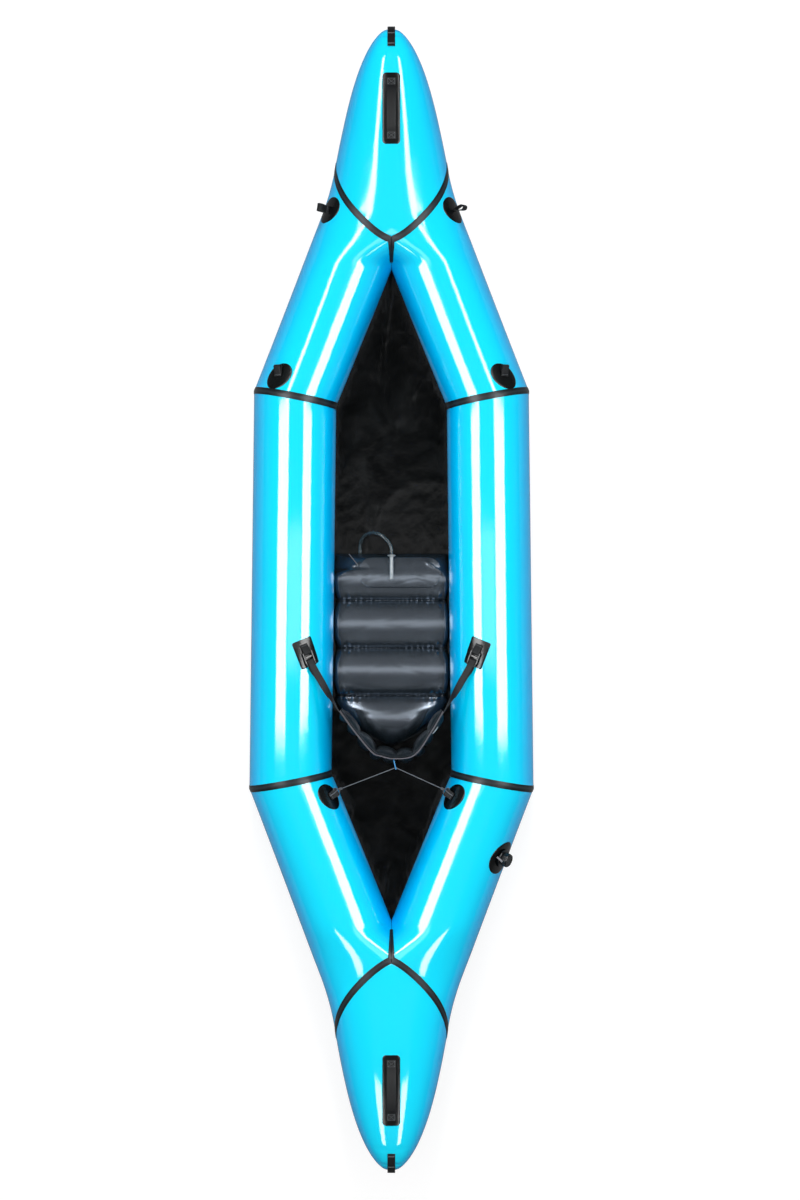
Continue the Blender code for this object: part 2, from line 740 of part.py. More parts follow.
def disc_outline(radius, sides=20):
    return [(radius * math.cos(2.0 * math.pi * k / sides), radius * math.sin(2.0 * math.pi * k / sides))
            for k in range(sides)]


def laid_patch(name, tree, place, outline, thickness, finish, rings=2, hole=None):
    """A sheet that follows the surface below it. It is cut along rings drawn in from its
    outline, dropped on the surface, and raised until its least clearance is the seating gap."""
    count = len(outline)
    inner_share = 0.0 if hole is None else hole / max(math.hypot(*spot) for spot in outline)
    spots = []
    for ring in range(rings + (hole is not None)):
        share = 1.0 - (1.0 - inner_share) * ring / rings
        spots += [(along * share, across * share) for along, across in outline]
    if hole is None:
        spots.append((0.0, 0.0))

    def height(surface, along, across):
        start = place.at(along, across, OVERRUN * 8.0)
        spot = surface.ray_cast(start, -place.normal)[0]
        return None if spot is None else (spot - place.origin).dot(place.normal)

    heights = [height(tree, *spot) for spot in spots]
    faces = grid_faces(rings + (hole is not None), count, True)
    if hole is None:
        last = (rings - 1) * count
        faces += [(last + k, last + (k + 1) % count, len(spots) - 1) for k in range(count)]
    low = [place.at(a, c, h) for (a, c), h in zip(spots, heights)]
    under = BVHTree.FromPolygons(low, faces)
    reach = max(abs(along) for along, _ in outline)
    wide = max(abs(across) for _, across in outline)
    lift = SEAT_GAP
    samples = 60
    for row in range(samples + 1):
        for column in range(samples + 1):
            along = reach * (2.0 * row / samples - 1.0)
            across = wide * (2.0 * column / samples - 1.0)
            below, above = height(tree, along, across), height(under, along, across)
            if below is not None and above is not None:
                lift = max(lift, below - above + SEAT_GAP)
    points = [p + place.normal * lift for p in low]
    points += [p + place.normal * (lift + thickness) for p in low]
    total = len(low)
    closed = faces + [tuple(index + total for index in face) for face in faces]
    walls = [0] if hole is None else [0, rings * count]
    for first in walls:
        closed += [(first + k, first + (k + 1) % count, first + (k + 1) % count + total,
                    first + k + total) for k in range(count)]
    piece = solid(name, points, closed, finish)
    top = place.at(0.0, 0.0, heights[-1] + lift + thickness) if hole is None else place.at(
        0.0, 0.0, max(heights) + lift + thickness)
    return piece, Place(top, place.along, place.normal)


def ribbon(name, path, widths, thickness, finish, loop=False):
    """Webbing along a path: at each point its width direction, scaled to half its width."""
    points = []
    count = len(path)
    for index, (centre, wide) in enumerate(zip(path, widths)):
        before = path[(index - 1) % count] if loop or index > 0 else path[index]
        after = path[(index + 1) % count] if loop or index < count - 1 else path[index]
        ahead = (after - before).normalized()
        face = wide.cross(ahead).normalized() * (thickness / 2.0)
        points += [centre + wide + face, centre - wide + face, centre - wide - face,
                   centre + wide - face]
    rows = grid_faces(count, 4, True)
    if loop:
        last = (count - 1) * 4
        rows += [(last + k, last + (k + 1) % 4, (k + 1) % 4, k) for k in range(4)]
    else:
        rows += [(0, 1, 2, 3), tuple(range(4 * count - 4, 4 * count))]
    return solid(name, points, rows, finish)


def standing_under(trees, place, length, width):
    """How far the surfaces in trees stand above a place's plane under a strip along it."""
    most = 0.0
    steps = 16
    for row in range(steps + 1):
        for column in range(steps + 1):
            start = place.at(length * row / steps, width * (column / steps - 0.5), OVERRUN)
            for tree in trees:
                found = tree.ray_cast(start, -place.normal, OVERRUN * 2.0)[0]
                if found is not None:
                    most = max(most, (found - place.origin).dot(place.normal))
    return most


def webbing_loop(name, place, length, height, width, trees):
    """A folded loop of webbing sewn to a patch: flat below, open at its outer end."""
    under = Place(place.at(-LOOP_WIDTH * 0.1, 0.0, 0.0), place.along, place.normal)
    rise = standing_under(trees, under, length + LOOP_WIDTH * 0.1, width)
    rise += WEBBING_THICKNESS / 2.0 + SEAT_GAP
    outline = []
    nose = height / 2.0
    for step in range(7):
        turn = -math.pi / 2.0 + math.pi * step / 6
        outline.append((length - nose + nose * math.cos(turn), rise + nose + nose * math.sin(turn)))
    outline.append((length * 0.45, rise + height * 0.62))
    outline.append((length * 0.12, rise + WEBBING_THICKNESS * 2.6))
    outline.append((0.0, rise + WEBBING_THICKNESS * 1.7))
    outline.append((-WEBBING_THICKNESS, rise + WEBBING_THICKNESS * 0.85))
    outline.append((0.0, rise))
    outline.append((length * 0.5, rise))
    path = [place.at(along, 0.0, up) for along, up in outline]
    return ribbon(name, path, [place.across * (width / 2.0)] * len(path), WEBBING_THICKNESS,
                  "webbing", loop=True)


def standing_loop(name, place, length, spread, width, trees):
    """A loop of webbing that stands out from its patch, thin at the foot and open at the tip."""
    rise = standing_under(trees, Place(place.at(-width / 2.0, 0.0, 0.0), place.along,
                                       place.normal), width, width)
    rise += SEAT_GAP
    shares = ((0.0, 0.13), (0.30, 0.22), (0.62, 0.46), (0.82, 0.50), (0.95, 0.34), (1.0, 0.0))
    outline = [(rise + length * up, spread * wide) for up, wide in shares]
    outline += [(up, -wide) for up, wide in outline[-2::-1]]
    path = [place.at(wide, 0.0, up) for up, wide in outline]
    return ribbon(name, path, [place.across * (width / 2.0)] * len(path), WEBBING_THICKNESS,
                  "webbing", loop=True)


def build_handles(skins):
    """A grab handle on each nose: a long welded patch with webbing sewn down at both ends."""
    for end_name, _, end in ENDS:
        reach = end.tip - (BOW_HANDLE_BACK if end is BOW else STERN_HANDLE_BACK)
        tree = skins[end_name + "_nose"]
        place = found_from_above(tree, SEAT_GAP, reach * end.way)
        outline = rounded_outline(HANDLE_PATCH_LENGTH, HANDLE_PATCH_WIDTH, HANDLE_PATCH_CORNER)
        ahead = found_from_above(tree, SEAT_GAP, (reach + HANDLE_PATCH_LENGTH / 2.0) * end.way)
        behind = found_from_above(tree, SEAT_GAP, (reach - HANDLE_PATCH_LENGTH / 2.0) * end.way)
        along = (ahead.origin - behind.origin).normalized()
        place = Place(place.origin, along, Vector((0.0, -along.z, along.y)) * end.way)
        patch, top = laid_patch(end_name + "_handle_patch", tree, place, outline,
                                PATCH_THICKNESS, "seam tape", rings=3)
        under = skin(patch)
        path = []
        handle_length = HANDLE_PATCH_LENGTH - HANDLE_END_MARGIN * 2.0
        steps = 14
        for step in range(steps + 1):
            run = handle_length * (step / steps - 0.5)
            free = handle_length / 2.0 - HANDLE_SEWN
            arch = max(1.0 - (run / free) ** 2, 0.0) if abs(run) < free else 0.0
            start = top.at(run, 0.0, OVERRUN * 4.0)
            base = max((under.ray_cast(start + top.across * (HANDLE_WIDTH / 2.0 * s),
                                       -top.normal)[0] - top.origin).dot(top.normal)
                       for s in (-1.0, -0.5, 0.0, 0.5, 1.0))
            path.append(top.at(run, 0.0, base + SEAT_GAP * 2.0 + WEBBING_THICKNESS / 2.0
                               + HANDLE_ARCH * arch ** 0.7))
        ribbon(end_name + "_handle", path, [top.across * (HANDLE_WIDTH / 2.0)] * len(path),
               WEBBING_THICKNESS, "webbing")


def build_tip_loops():
    """A short piece of webbing over each tip, standing a little off it as a towing loop."""
    for end_name, _, end in ENDS:
        path = []
        steps = 8
        stand = SEAT_GAP * 3.0 + WEBBING_THICKNESS / 2.0
        for turn_sign in (1.0, -1.0):
            run = []
            for step in range(steps):
                share = step / steps
                reach = end.tip - TIP_LOOP_BACK * (1.0 - math.sin(math.pi / 2.0 * share))
                spot = Vector(end.point(reach, turn_sign * math.pi / 2.0, 0.0))
                lift = stand + (TIP_LOOP_STAND - stand) * share ** 3
                push = Vector((0.0, share ** 2, turn_sign * math.sqrt(1.0 - share ** 4)))
                run.append(Vector((0.0, spot.y, spot.z)) + push * lift)
            path += run if turn_sign > 0 else run[::-1]
        path.insert(steps, Vector((0.0, end.tip + TIP_LOOP_STAND, end.centre_up(end.tip))))
        path = [Vector(end.world(point)) for point in path]
        wide = Vector((TIP_LOOP_WIDTH / 2.0, 0.0, 0.0))
        ribbon(end_name + "_tip_loop", path, [wide] * len(path), WEBBING_THICKNESS, "webbing")


def build_discs(skins):
    """Six welded discs with webbing loops: two at the bow's shoulders, two beside the front
    mitres and two on the cockpit side behind the rear mitres."""
    tops = {}
    for side_name, side in SIDES:
        shoulder = BOW.point(BOW.tip - SHOULDER_DISC_BACK, math.radians(SHOULDER_DISC_ANGLE), 0.0)
        spots = (
            ("shoulder", "front_", shoulder[0], shoulder[1], (0.0, 1.0, 0.0), LOOP_LENGTH),
            ("side", "front_", BOW.mitre_out + SIDE_DISC_OUTER, BOW.mitre + SIDE_DISC_PAST,
             (0.0, 1.0, 0.0), SIDE_LOOP_LENGTH),
            ("rear", "rear_", STERN.mitre_out - REAR_DISC_INNER, -STERN.mitre - REAR_DISC_PAST,
             (side * -1.0, 0.0, 0.0), REAR_LOOP_LENGTH),
        )
        for label, part_name, out, forward, along, length in spots:
            tree = skins[part_name + side_name + "_tube"]
            place = found_from_above(tree, out * side, forward, along)
            name = label + "_disc_" + side_name
            patch, top = laid_patch(name, tree, place, disc_outline(DISC_RADIUS),
                                    PATCH_THICKNESS, "seam tape")
            under = [tree, skin(patch)]
            if label == "shoulder":
                standing_loop(label + "_loop_" + side_name, top.turned(90.0 * (side < 0)),
                              LOOP_LENGTH, SHOULDER_LOOP_SPREAD, LOOP_WIDTH, under)
            else:
                webbing_loop(label + "_loop_" + side_name, top, length, LOOP_HEIGHT,
                             LOOP_WIDTH, under)
            tops[name] = (top, length)
    return tops


def seat_bounds():
    """The places along the seat where its chambers begin and end, front to rear."""
    seams = [SEAT_FIRST_SEAM - SEAT_PITCH * step for step in range(SEAT_CHAMBERS + 1)]
    return [SEAT_FRONT] + seams + [SEAT_REAR]


def seat_half_width(forward):
    """Full width to the last seam, then drawn in to a rounded point inside the backrest."""
    bounds = seat_bounds()
    last_seam = bounds[-2]
    if forward < last_seam:
        share = min((last_seam - forward) / (last_seam - SEAT_REAR), 1.0)
        return SEAT_HALF_WIDTH * (1.0 - share ** SEAT_REAR_SQUARE) ** SEAT_REAR_DRAW
    pull = 0.0
    for start, end in zip(bounds[:-2], bounds[1:-1]):
        if end <= forward <= start:
            share = (start - forward) / (start - end)
            pull = SEAT_SIDE_PULL * abs(math.cos(math.pi * share)) ** 3
    return SEAT_HALF_WIDTH - pull


def seat_height(forward):
    """The crown of the chamber at this place: low at the seams, full between them."""
    bounds = seat_bounds()
    for index, (start, end) in enumerate(zip(bounds[:-1], bounds[1:])):
        if end <= forward <= start:
            share = (start - forward) / (start - end)
            crown = math.sqrt(max(1.0 - (2.0 * share - 1.0) ** 2, 0.0))
            first = SEAT_SIDE_HEIGHT if index == 0 and share < 0.5 else SEAT_SEAM_HEIGHT
            if index == len(bounds) - 2 and share > 0.5:
                first = SEAT_SIDE_HEIGHT
            return first + (SEAT_CROWN_HEIGHT - first) * crown
    return SEAT_SIDE_HEIGHT


def build_seat():
    """An inflated cushion with cross seams: crowned chambers, low seams, drawn-in sides."""
    bounds = seat_bounds()
    places = []
    cells = 6
    for start, end in zip(bounds[:-1], bounds[1:]):
        for step in range(cells):
            share = (1.0 - math.cos(math.pi * step / cells)) / 2.0
            places.append(start + (end - start) * share)
    places.append(SEAT_REAR)
    base = FLOOR_THICKNESS + SEAT_GAP
    across = 12
    top = []
    under = []
    for forward in places:
        half = max(seat_half_width(forward), HULL_WALL)
        height = seat_height(forward)
        top_row = []
        under_row = []
        for step in range(across + 1):
            share = -math.cos(math.pi * step / across)
            fall = math.sqrt(max(1.0 - abs(share) ** 3.2, 0.0))
            low = base + SEAT_UNDER_ROUND * (1.0 - fall)
            if forward in (SEAT_FRONT, SEAT_REAR):
                low = base + SEAT_UNDER_ROUND
            side = base + SEAT_SIDE_HEIGHT / 2.0
            rim = max(side, low)
            top_row.append((share * half, forward, rim + (base + height - rim) * fall))
            under_row.append((share * half, forward, rim if fall == 0.0 else low))
        top.append(top_row)
        under.append(under_row)
    sheet = np.array(top)
    lower = np.array(under)
    rows, columns, _ = sheet.shape
    count = rows * columns
    faces = grid_faces(rows, columns, False)
    faces += grid_faces(rows, columns, False, count)
    for column in range(columns - 1):
        for row in (0, rows - 1):
            here = row * columns + column
            faces.append((here, here + 1, here + 1 + count, here + count))
    faces = [tuple(dict.fromkeys(face)) for face in faces]
    points, faces = welded(np.concatenate([sheet.reshape(-1, 3), lower.reshape(-1, 3)]), faces)
    faces = [tuple(dict.fromkeys(face)) for face in faces]
    faces = [face for face in faces if len(face) > 2]
    return solid("seat_cushion", points, faces, "cushion fabric")


def smooth_route(route, spacing):
    """Points read evenly from a smooth curve through a cord's own points."""
    points = [Vector(point) for point in route]
    padded = [points[0] * 2.0 - points[1]] + points + [points[-1] * 2.0 - points[-2]]
    fine = []
    for index in range(1, len(padded) - 2):
        before, start, end, after = padded[index - 1:index + 3]
        for step in range(16):
            share = step / 16
            fine.append(0.5 * (start * 2.0 + (end - before) * share
                               + (before * 2.0 - start * 5.0 + end * 4.0 - after) * share ** 2
                               + (start * 3.0 - before - end * 3.0 + after) * share ** 3))
    fine.append(points[-1])
    lengths = [0.0]
    for start, end in zip(fine[:-1], fine[1:]):
        lengths.append(lengths[-1] + (end - start).length)
    count = max(round(lengths[-1] / spacing), 4)
    picked = []
    for step in range(count + 1):
        goal = lengths[-1] * step / count
        index = min(max(int(np.searchsorted(lengths, goal)), 1), len(fine) - 1)
        share = (goal - lengths[index - 1]) / (lengths[index] - lengths[index - 1])
        picked.append(fine[index - 1].lerp(fine[index], share))
    return picked


def cord_tube(name, points, diameter, resolution, finish, cyclic=False):
    """A cord as a curve with a round bevel and filled ends."""
    curve = bpy.data.curves.new(name, "CURVE")
    curve.dimensions = "3D"
    curve.bevel_depth = diameter / 2.0
    curve.bevel_resolution = resolution
    curve.use_fill_caps = True
    spline = curve.splines.new("POLY")
    spline.points.add(len(points) - 1)
    for slot, point in zip(spline.points, points):
        slot.co = (*point, 1.0)
    spline.use_cyclic_u = cyclic
    curve.materials.append(own_material(name, finish))
    piece = bpy.data.objects.new(name, curve)
    bpy.context.collection.objects.link(piece)
    return piece


def turned(name, place, profile, sides, finish, lobes=0, lobe_depth=0.0, lobe_above=None):
    """A piece turned round a place's normal from a closed (radius, height) profile. Points
    past lobe_above are drawn in between the lobes of a hand grip."""
    points = []
    for step in range(sides):
        turn = 2.0 * math.pi * step / sides
        for radius, height in profile:
            if lobes and lobe_above is not None and radius > lobe_above:
                radius -= lobe_depth * ((1.0 - math.cos(lobes * turn)) / 2.0) ** 3
            points.append(place.at(radius * math.cos(turn), radius * math.sin(turn), height))
    count = len(profile)
    faces = []
    for step in range(sides):
        nearby = (step + 1) % sides
        for k in range(count):
            faces.append((step * count + k, step * count + (k + 1) % count,
                          nearby * count + (k + 1) % count, nearby * count + k))
    points, faces = welded([tuple(point) for point in points], faces)
    faces = [tuple(dict.fromkeys(face)) for face in faces]
    return solid(name, points, [face for face in faces if len(face) > 2], finish)


def build_seat_fittings(seat):
    """The flap over the seat's front roll, its clear inflation hose, the mouthpiece with its
    twist nozzle, and a short tie."""
    tree = skin(seat)
    place = found_from_above(tree, FLAP_OUT, FLAP_MIDDLE)
    place = Place(place.origin, (0.0, 1.0, 0.0), (0.0, 0.0, 1.0))
    outline = rounded_outline(FLAP_LENGTH, FLAP_WIDTH, FLAP_CORNER)
    flap, _ = laid_patch("seat_front_flap", tree, place, outline, FLAP_THICKNESS,
                         "cushion fabric", rings=4)
    hose = smooth_route(HOSE_ROUTE, HOSE_DIAMETER * 1.2)
    cord_tube("seat_inflation_hose", hose, HOSE_DIAMETER, 2, "clear hose")
    end = hose[-1]
    axis = (hose[-1] - hose[-2]).normalized()
    place = Place(end + axis * SEAT_GAP, (1.0, 0.0, 0.0), axis)
    flange = WEBBING_THICKNESS * 2.0
    turned("seat_mouthpiece", place,
           [(MOUTH_BORE, 0.0), (MOUTH_FLANGE_RADIUS, 0.0), (MOUTH_FLANGE_RADIUS, flange),
            (MOUTH_RADIUS + HULL_WALL, flange * 1.6), (MOUTH_RADIUS, flange * 2.6),
            (MOUTH_RADIUS, MOUTH_LENGTH), (MOUTH_BORE, MOUTH_LENGTH)], 16, "white plastic")
    tip = Place(place.at(0.0, 0.0, MOUTH_LENGTH + SEAT_GAP), place.along, axis)
    turned("seat_mouth_nozzle", tip,
           [(NOZZLE_BORE, 0.0), (MOUTH_RADIUS, 0.0), (MOUTH_RADIUS, NOZZLE_LENGTH * 0.55),
            (NOZZLE_RADIUS, NOZZLE_LENGTH * 0.70), (NOZZLE_RADIUS, NOZZLE_LENGTH),
            (NOZZLE_BORE, NOZZLE_LENGTH)], 16, "white plastic")
    cord_tube("seat_tie_cord", smooth_route(TIE_ROUTE, TIE_DIAMETER * 2.5), TIE_DIAMETER, 2,
              "grey cord")


def back_point(share, lift=0.0):
    """The backrest's line in plan, from its left end (-1) round the back to its right (1)."""
    bend = abs(share) ** BACK_BEND_POWER
    return Vector((BACK_HALF_WIDTH * share, BACK_BOTTOM + BACK_DEPTH * bend, lift))


def back_frame(share):
    step = HULL_WALL / BACK_HALF_WIDTH
    ahead = (back_point(share + step) - back_point(share - step)).normalized()
    return ahead, Vector((-ahead.y, ahead.x, 0.0))


def build_backrest():
    """An inflated band standing round the seat's rear: upright channels between a half-round
    foot and a thin rim."""
    base = FLOOR_THICKNESS + SEAT_GAP + BACK_FOOT_RADIUS
    cells = BACK_CHANNELS * 4
    rings = []
    for step in range(cells + 1):
        share = 2.0 * step / cells - 1.0
        _, inward = back_frame(share)
        low = base + BACK_END_LIFT * abs(share) ** BACK_BEND_POWER
        channel = abs(math.sin(math.pi / 2.0 * BACK_CHANNELS * (share + 1.0)))
        fill = 1.0 - BACK_CHANNEL_SHARE * (1.0 - math.sqrt(channel))
        end_pinch = 1.0 if step not in (0, cells) else 0.35
        ring = []
        profile = [(0.0, -BACK_FOOT_RADIUS), (BACK_FOOT_RADIUS * 0.8, -BACK_FOOT_RADIUS * 0.6)]
        span = BACK_TOP_HEIGHT - low
        for place_share, thick_share in ((0.12, 0.86), (0.40, 1.0), (0.72, 0.82), (0.93, 0.42)):
            profile.append((max(BACK_HALF_THICKNESS * thick_share * fill, BACK_RIM_HALF),
                            span * place_share))
        profile.append((BACK_RIM_HALF, span))
        outline = profile + [(-half, height) for half, height in profile[:0:-1]]
        for half, height in outline:
            spot = back_point(share, low + height) + inward * (half * end_pinch)
            ring.append(tuple(spot))
        rings.append(ring)
    grid = np.array(rings)
    rows, columns, _ = grid.shape
    faces = grid_faces(rows, columns, True)
    faces += [tuple(range(columns)), tuple(range((rows - 1) * columns, rows * columns))]
    backrest = solid("backrest", grid.reshape(-1, 3), faces, "cushion fabric")
    return backrest


def buckle_bars():
    """A ladder-lock seen from above: two rails and four bars, as (along, across) boxes."""
    length, width = BUCKLE_LENGTH, BUCKLE_WIDTH / 2.0
    slots = []
    clear = (length - BUCKLE_BAR * 4.0) / 3.0
    for index in range(3):
        start = BUCKLE_BAR + index * (clear + BUCKLE_BAR)
        slots.append((start, start + clear, width - BUCKLE_RAIL))
    return slots


def build_buckle(name, place):
    """A moulded ladder-lock: a plate with three slots and a lip that lifts to let the strap go."""
    outer = [(0.0, 1.0), (BUCKLE_LENGTH * 0.72, 1.0), (BUCKLE_LENGTH, 0.86)]
    outline = [(a, s * BUCKLE_WIDTH / 2.0) for a, s in outer]
    outline += [(a, -c) for a, c in outline[::-1]]
    loops = [outline]
    for start, end, half in buckle_bars():
        loops.append([(start, half), (end, half), (end, -half), (start, -half)])
    work = bmesh.new()
    edges = []
    for loop in loops:
        verts = [work.verts.new((a, c, 0.0)) for a, c in loop]
        edges += [work.edges.new((verts[k], verts[(k + 1) % len(verts)])) for k in range(len(verts))]
    filled = bmesh.ops.triangle_fill(work, use_beauty=True, use_dissolve=False, edges=edges)
    faces = [item for item in filled["geom"] if isinstance(item, bmesh.types.BMFace)]
    grown = bmesh.ops.extrude_face_region(work, geom=faces)
    lifted = [item for item in grown["geom"] if isinstance(item, bmesh.types.BMVert)]
    for vert in lifted:
        vert.co.z += BUCKLE_THICKNESS
    work.verts.ensure_lookup_table()
    points = []
    for vert in work.verts:
        along, across, up = vert.co
        bow = BUCKLE_LIP * max(along / BUCKLE_LENGTH - 0.55, 0.0) ** 2 / 0.2025
        points.append(place.at(along, across, up + bow))
    work.verts.index_update()
    shape = [tuple(vert.index for vert in face.verts) for face in work.faces]
    work.free()
    return solid(name, points, shape, "moulded plastic")


def build_straps(skins):
    """On each side tube: a square patch, a webbing loop, the ladder-lock buckle it holds, and
    the strap that runs from the backrest's end through the buckle and folds back as a tail."""
    buckles = {}
    for side_name, side in SIDES:
        tree = skins["mid_" + side_name + "_tube"]
        place = found_from_above(tree, ANCHOR_OUT * side, ANCHOR_REACH, (0.0, -1.0, 0.0))
        place = Place(place.origin, place.along, (place.normal.x, 0.0, place.normal.z))
        place = place.turned(ANCHOR_TURN_DEG * side)
        outline = rounded_outline(ANCHOR_LENGTH, ANCHOR_WIDTH, ANCHOR_CORNER, 2)
        patch, top = laid_patch("strap_patch_" + side_name, tree, place, outline,
                                PATCH_THICKNESS, "seam tape", rings=4)
        start = Place(top.at(-ANCHOR_LENGTH * 0.30, 0.0, 0.0), top.along, top.normal)
        webbing_loop("strap_loop_" + side_name, start, ANCHOR_LOOP_LENGTH, LOOP_HEIGHT,
                     STRAP_WIDTH, [skin(patch)])
        bar = Place(top.at(-ANCHOR_LENGTH * 0.30 + ANCHOR_LOOP_LENGTH - LOOP_HEIGHT / 2.0
                           - BUCKLE_BAR / 2.0, 0.0,
                           LOOP_HEIGHT / 2.0 + WEBBING_THICKNESS / 2.0 + SEAT_GAP
                           - BUCKLE_THICKNESS / 2.0), top.along, top.normal)
        build_buckle("buckle_" + side_name, bar)
        buckles[side_name] = bar
        build_back_strap(side_name, side, bar)
    return buckles


def build_back_strap(side_name, side, buckle):
    """The strap from the backrest's end up to the buckle, round its last bar but one and back."""
    slots = buckle_bars()
    bar_end = slots[1][1] + BUCKLE_BAR
    bar_start = slots[1][1]
    middle = (bar_start + bar_end) / 2.0
    radius = BUCKLE_BAR / 2.0 + WEBBING_THICKNESS / 2.0 + SEAT_GAP * 3.5
    share = side * (1.0 - RIM_WIDTH / BACK_HALF_WIDTH * 0.2)
    foot = back_point(share, BACK_TOP_HEIGHT - STRAP_WIDTH / 2.0)
    _, inward = back_frame(share)
    foot = foot - inward * (BACK_HALF_THICKNESS + WEBBING_THICKNESS)
    lip = BUCKLE_LIP * max(middle / BUCKLE_LENGTH - 0.55, 0.0) ** 2 / 0.2025
    centre_up = BUCKLE_THICKNESS / 2.0 + lip
    arc = []
    for step in range(7):
        turn = math.pi / 2.0 + math.pi * step / 6
        arc.append(buckle.at(middle + radius * math.cos(turn), 0.0,
                             centre_up + radius * math.sin(turn)))
    leave = buckle.at(BUCKLE_LENGTH + OVERRUN, 0.0, BUCKLE_THICKNESS + BUCKLE_LIP + radius)
    path = [foot, foot.lerp(leave, 0.35), foot.lerp(leave, 0.7), leave] + arc
    path += [buckle.at(BUCKLE_LENGTH + OVERRUN, 0.0, -radius / 2.0),
             buckle.at(BUCKLE_LENGTH + STRAP_TAIL, 0.0, -radius / 2.0)]
    widths = []
    for index in range(len(path)):
        blend = max(1.0 - index / 3.0, 0.0)
        wide = buckle.across * (1.0 - blend) + Vector((0.0, 0.0, side * 1.0)) * blend * 0.5
        widths.append(wide.normalized() * (STRAP_WIDTH / 2.0 * 0.9))
    ribbon("back_strap_" + side_name, path, widths, WEBBING_THICKNESS, "webbing")


def build_rear_cord(tops, backrest):
    """A small loop of blue cord behind the backrest, and the thin cord that runs through it
    from one rear disc to the other."""
    half = LOOP_CORD_LENGTH / 2.0
    rise = BACK_TOP_HEIGHT - LOOP_CORD_LENGTH / 2.0
    face = skin(backrest).ray_cast(Vector((0.0, STERN.way * BOW.mitre, rise)), Vector((0, 1, 0)))[0]
    behind = face.y - SEAT_GAP * 2.0 - LOOP_CORD_DIAMETER / 2.0
    ring = []
    for step in range(16):
        turn = 2.0 * math.pi * step / 16
        ring.append(Vector((0.0, behind - half + half * math.cos(turn),
                            rise + LOOP_CORD_HALF_WIDTH * math.sin(turn))))
    cord_tube("blue_cord_loop", ring, LOOP_CORD_DIAMETER, 2, "blue cord", cyclic=True)
    inside = (LOOP_CORD_DIAMETER + CORD_DIAMETER) / 2.0 + SEAT_GAP * 4.0
    middle = Vector((0.0, behind - half * 2.0 + inside, rise))
    route = []
    for side_name, side in SIDES:
        top, length = tops["rear_disc_" + side_name]
        clear = (WEBBING_THICKNESS + CORD_DIAMETER) / 2.0 + SEAT_GAP
        hook = top.at(length + clear, 0.0, LOOP_HEIGHT / 2.0)
        bend = middle + Vector((side * LOOP_CORD_HALF_WIDTH, -CORD_DIAMETER / 2.0, 0.0))
        run = [hook, hook.lerp(bend, 0.5), bend]
        route += run + [middle] if side < 0 else run[::-1]
    cord_tube("rear_cord", smooth_route(route, CORD_DIAMETER * 2.5), CORD_DIAMETER, 2, "grey cord")


def cut_hole(piece, place, radius, depth, name):
    """A round hole through a piece, on a place's normal."""
    profile = [(0.0, -depth), (radius, -depth), (radius, depth), (0.0, depth)]
    cutter = turned(name, place, profile, 24, "moulded plastic")
    cutter.hide_render = True
    cutter.display_type = "WIRE"
    cut = piece.modifiers.new("valve_hole", "BOOLEAN")
    cut.operation = "DIFFERENCE"
    cut.object = cutter
    cut.solver = "EXACT"


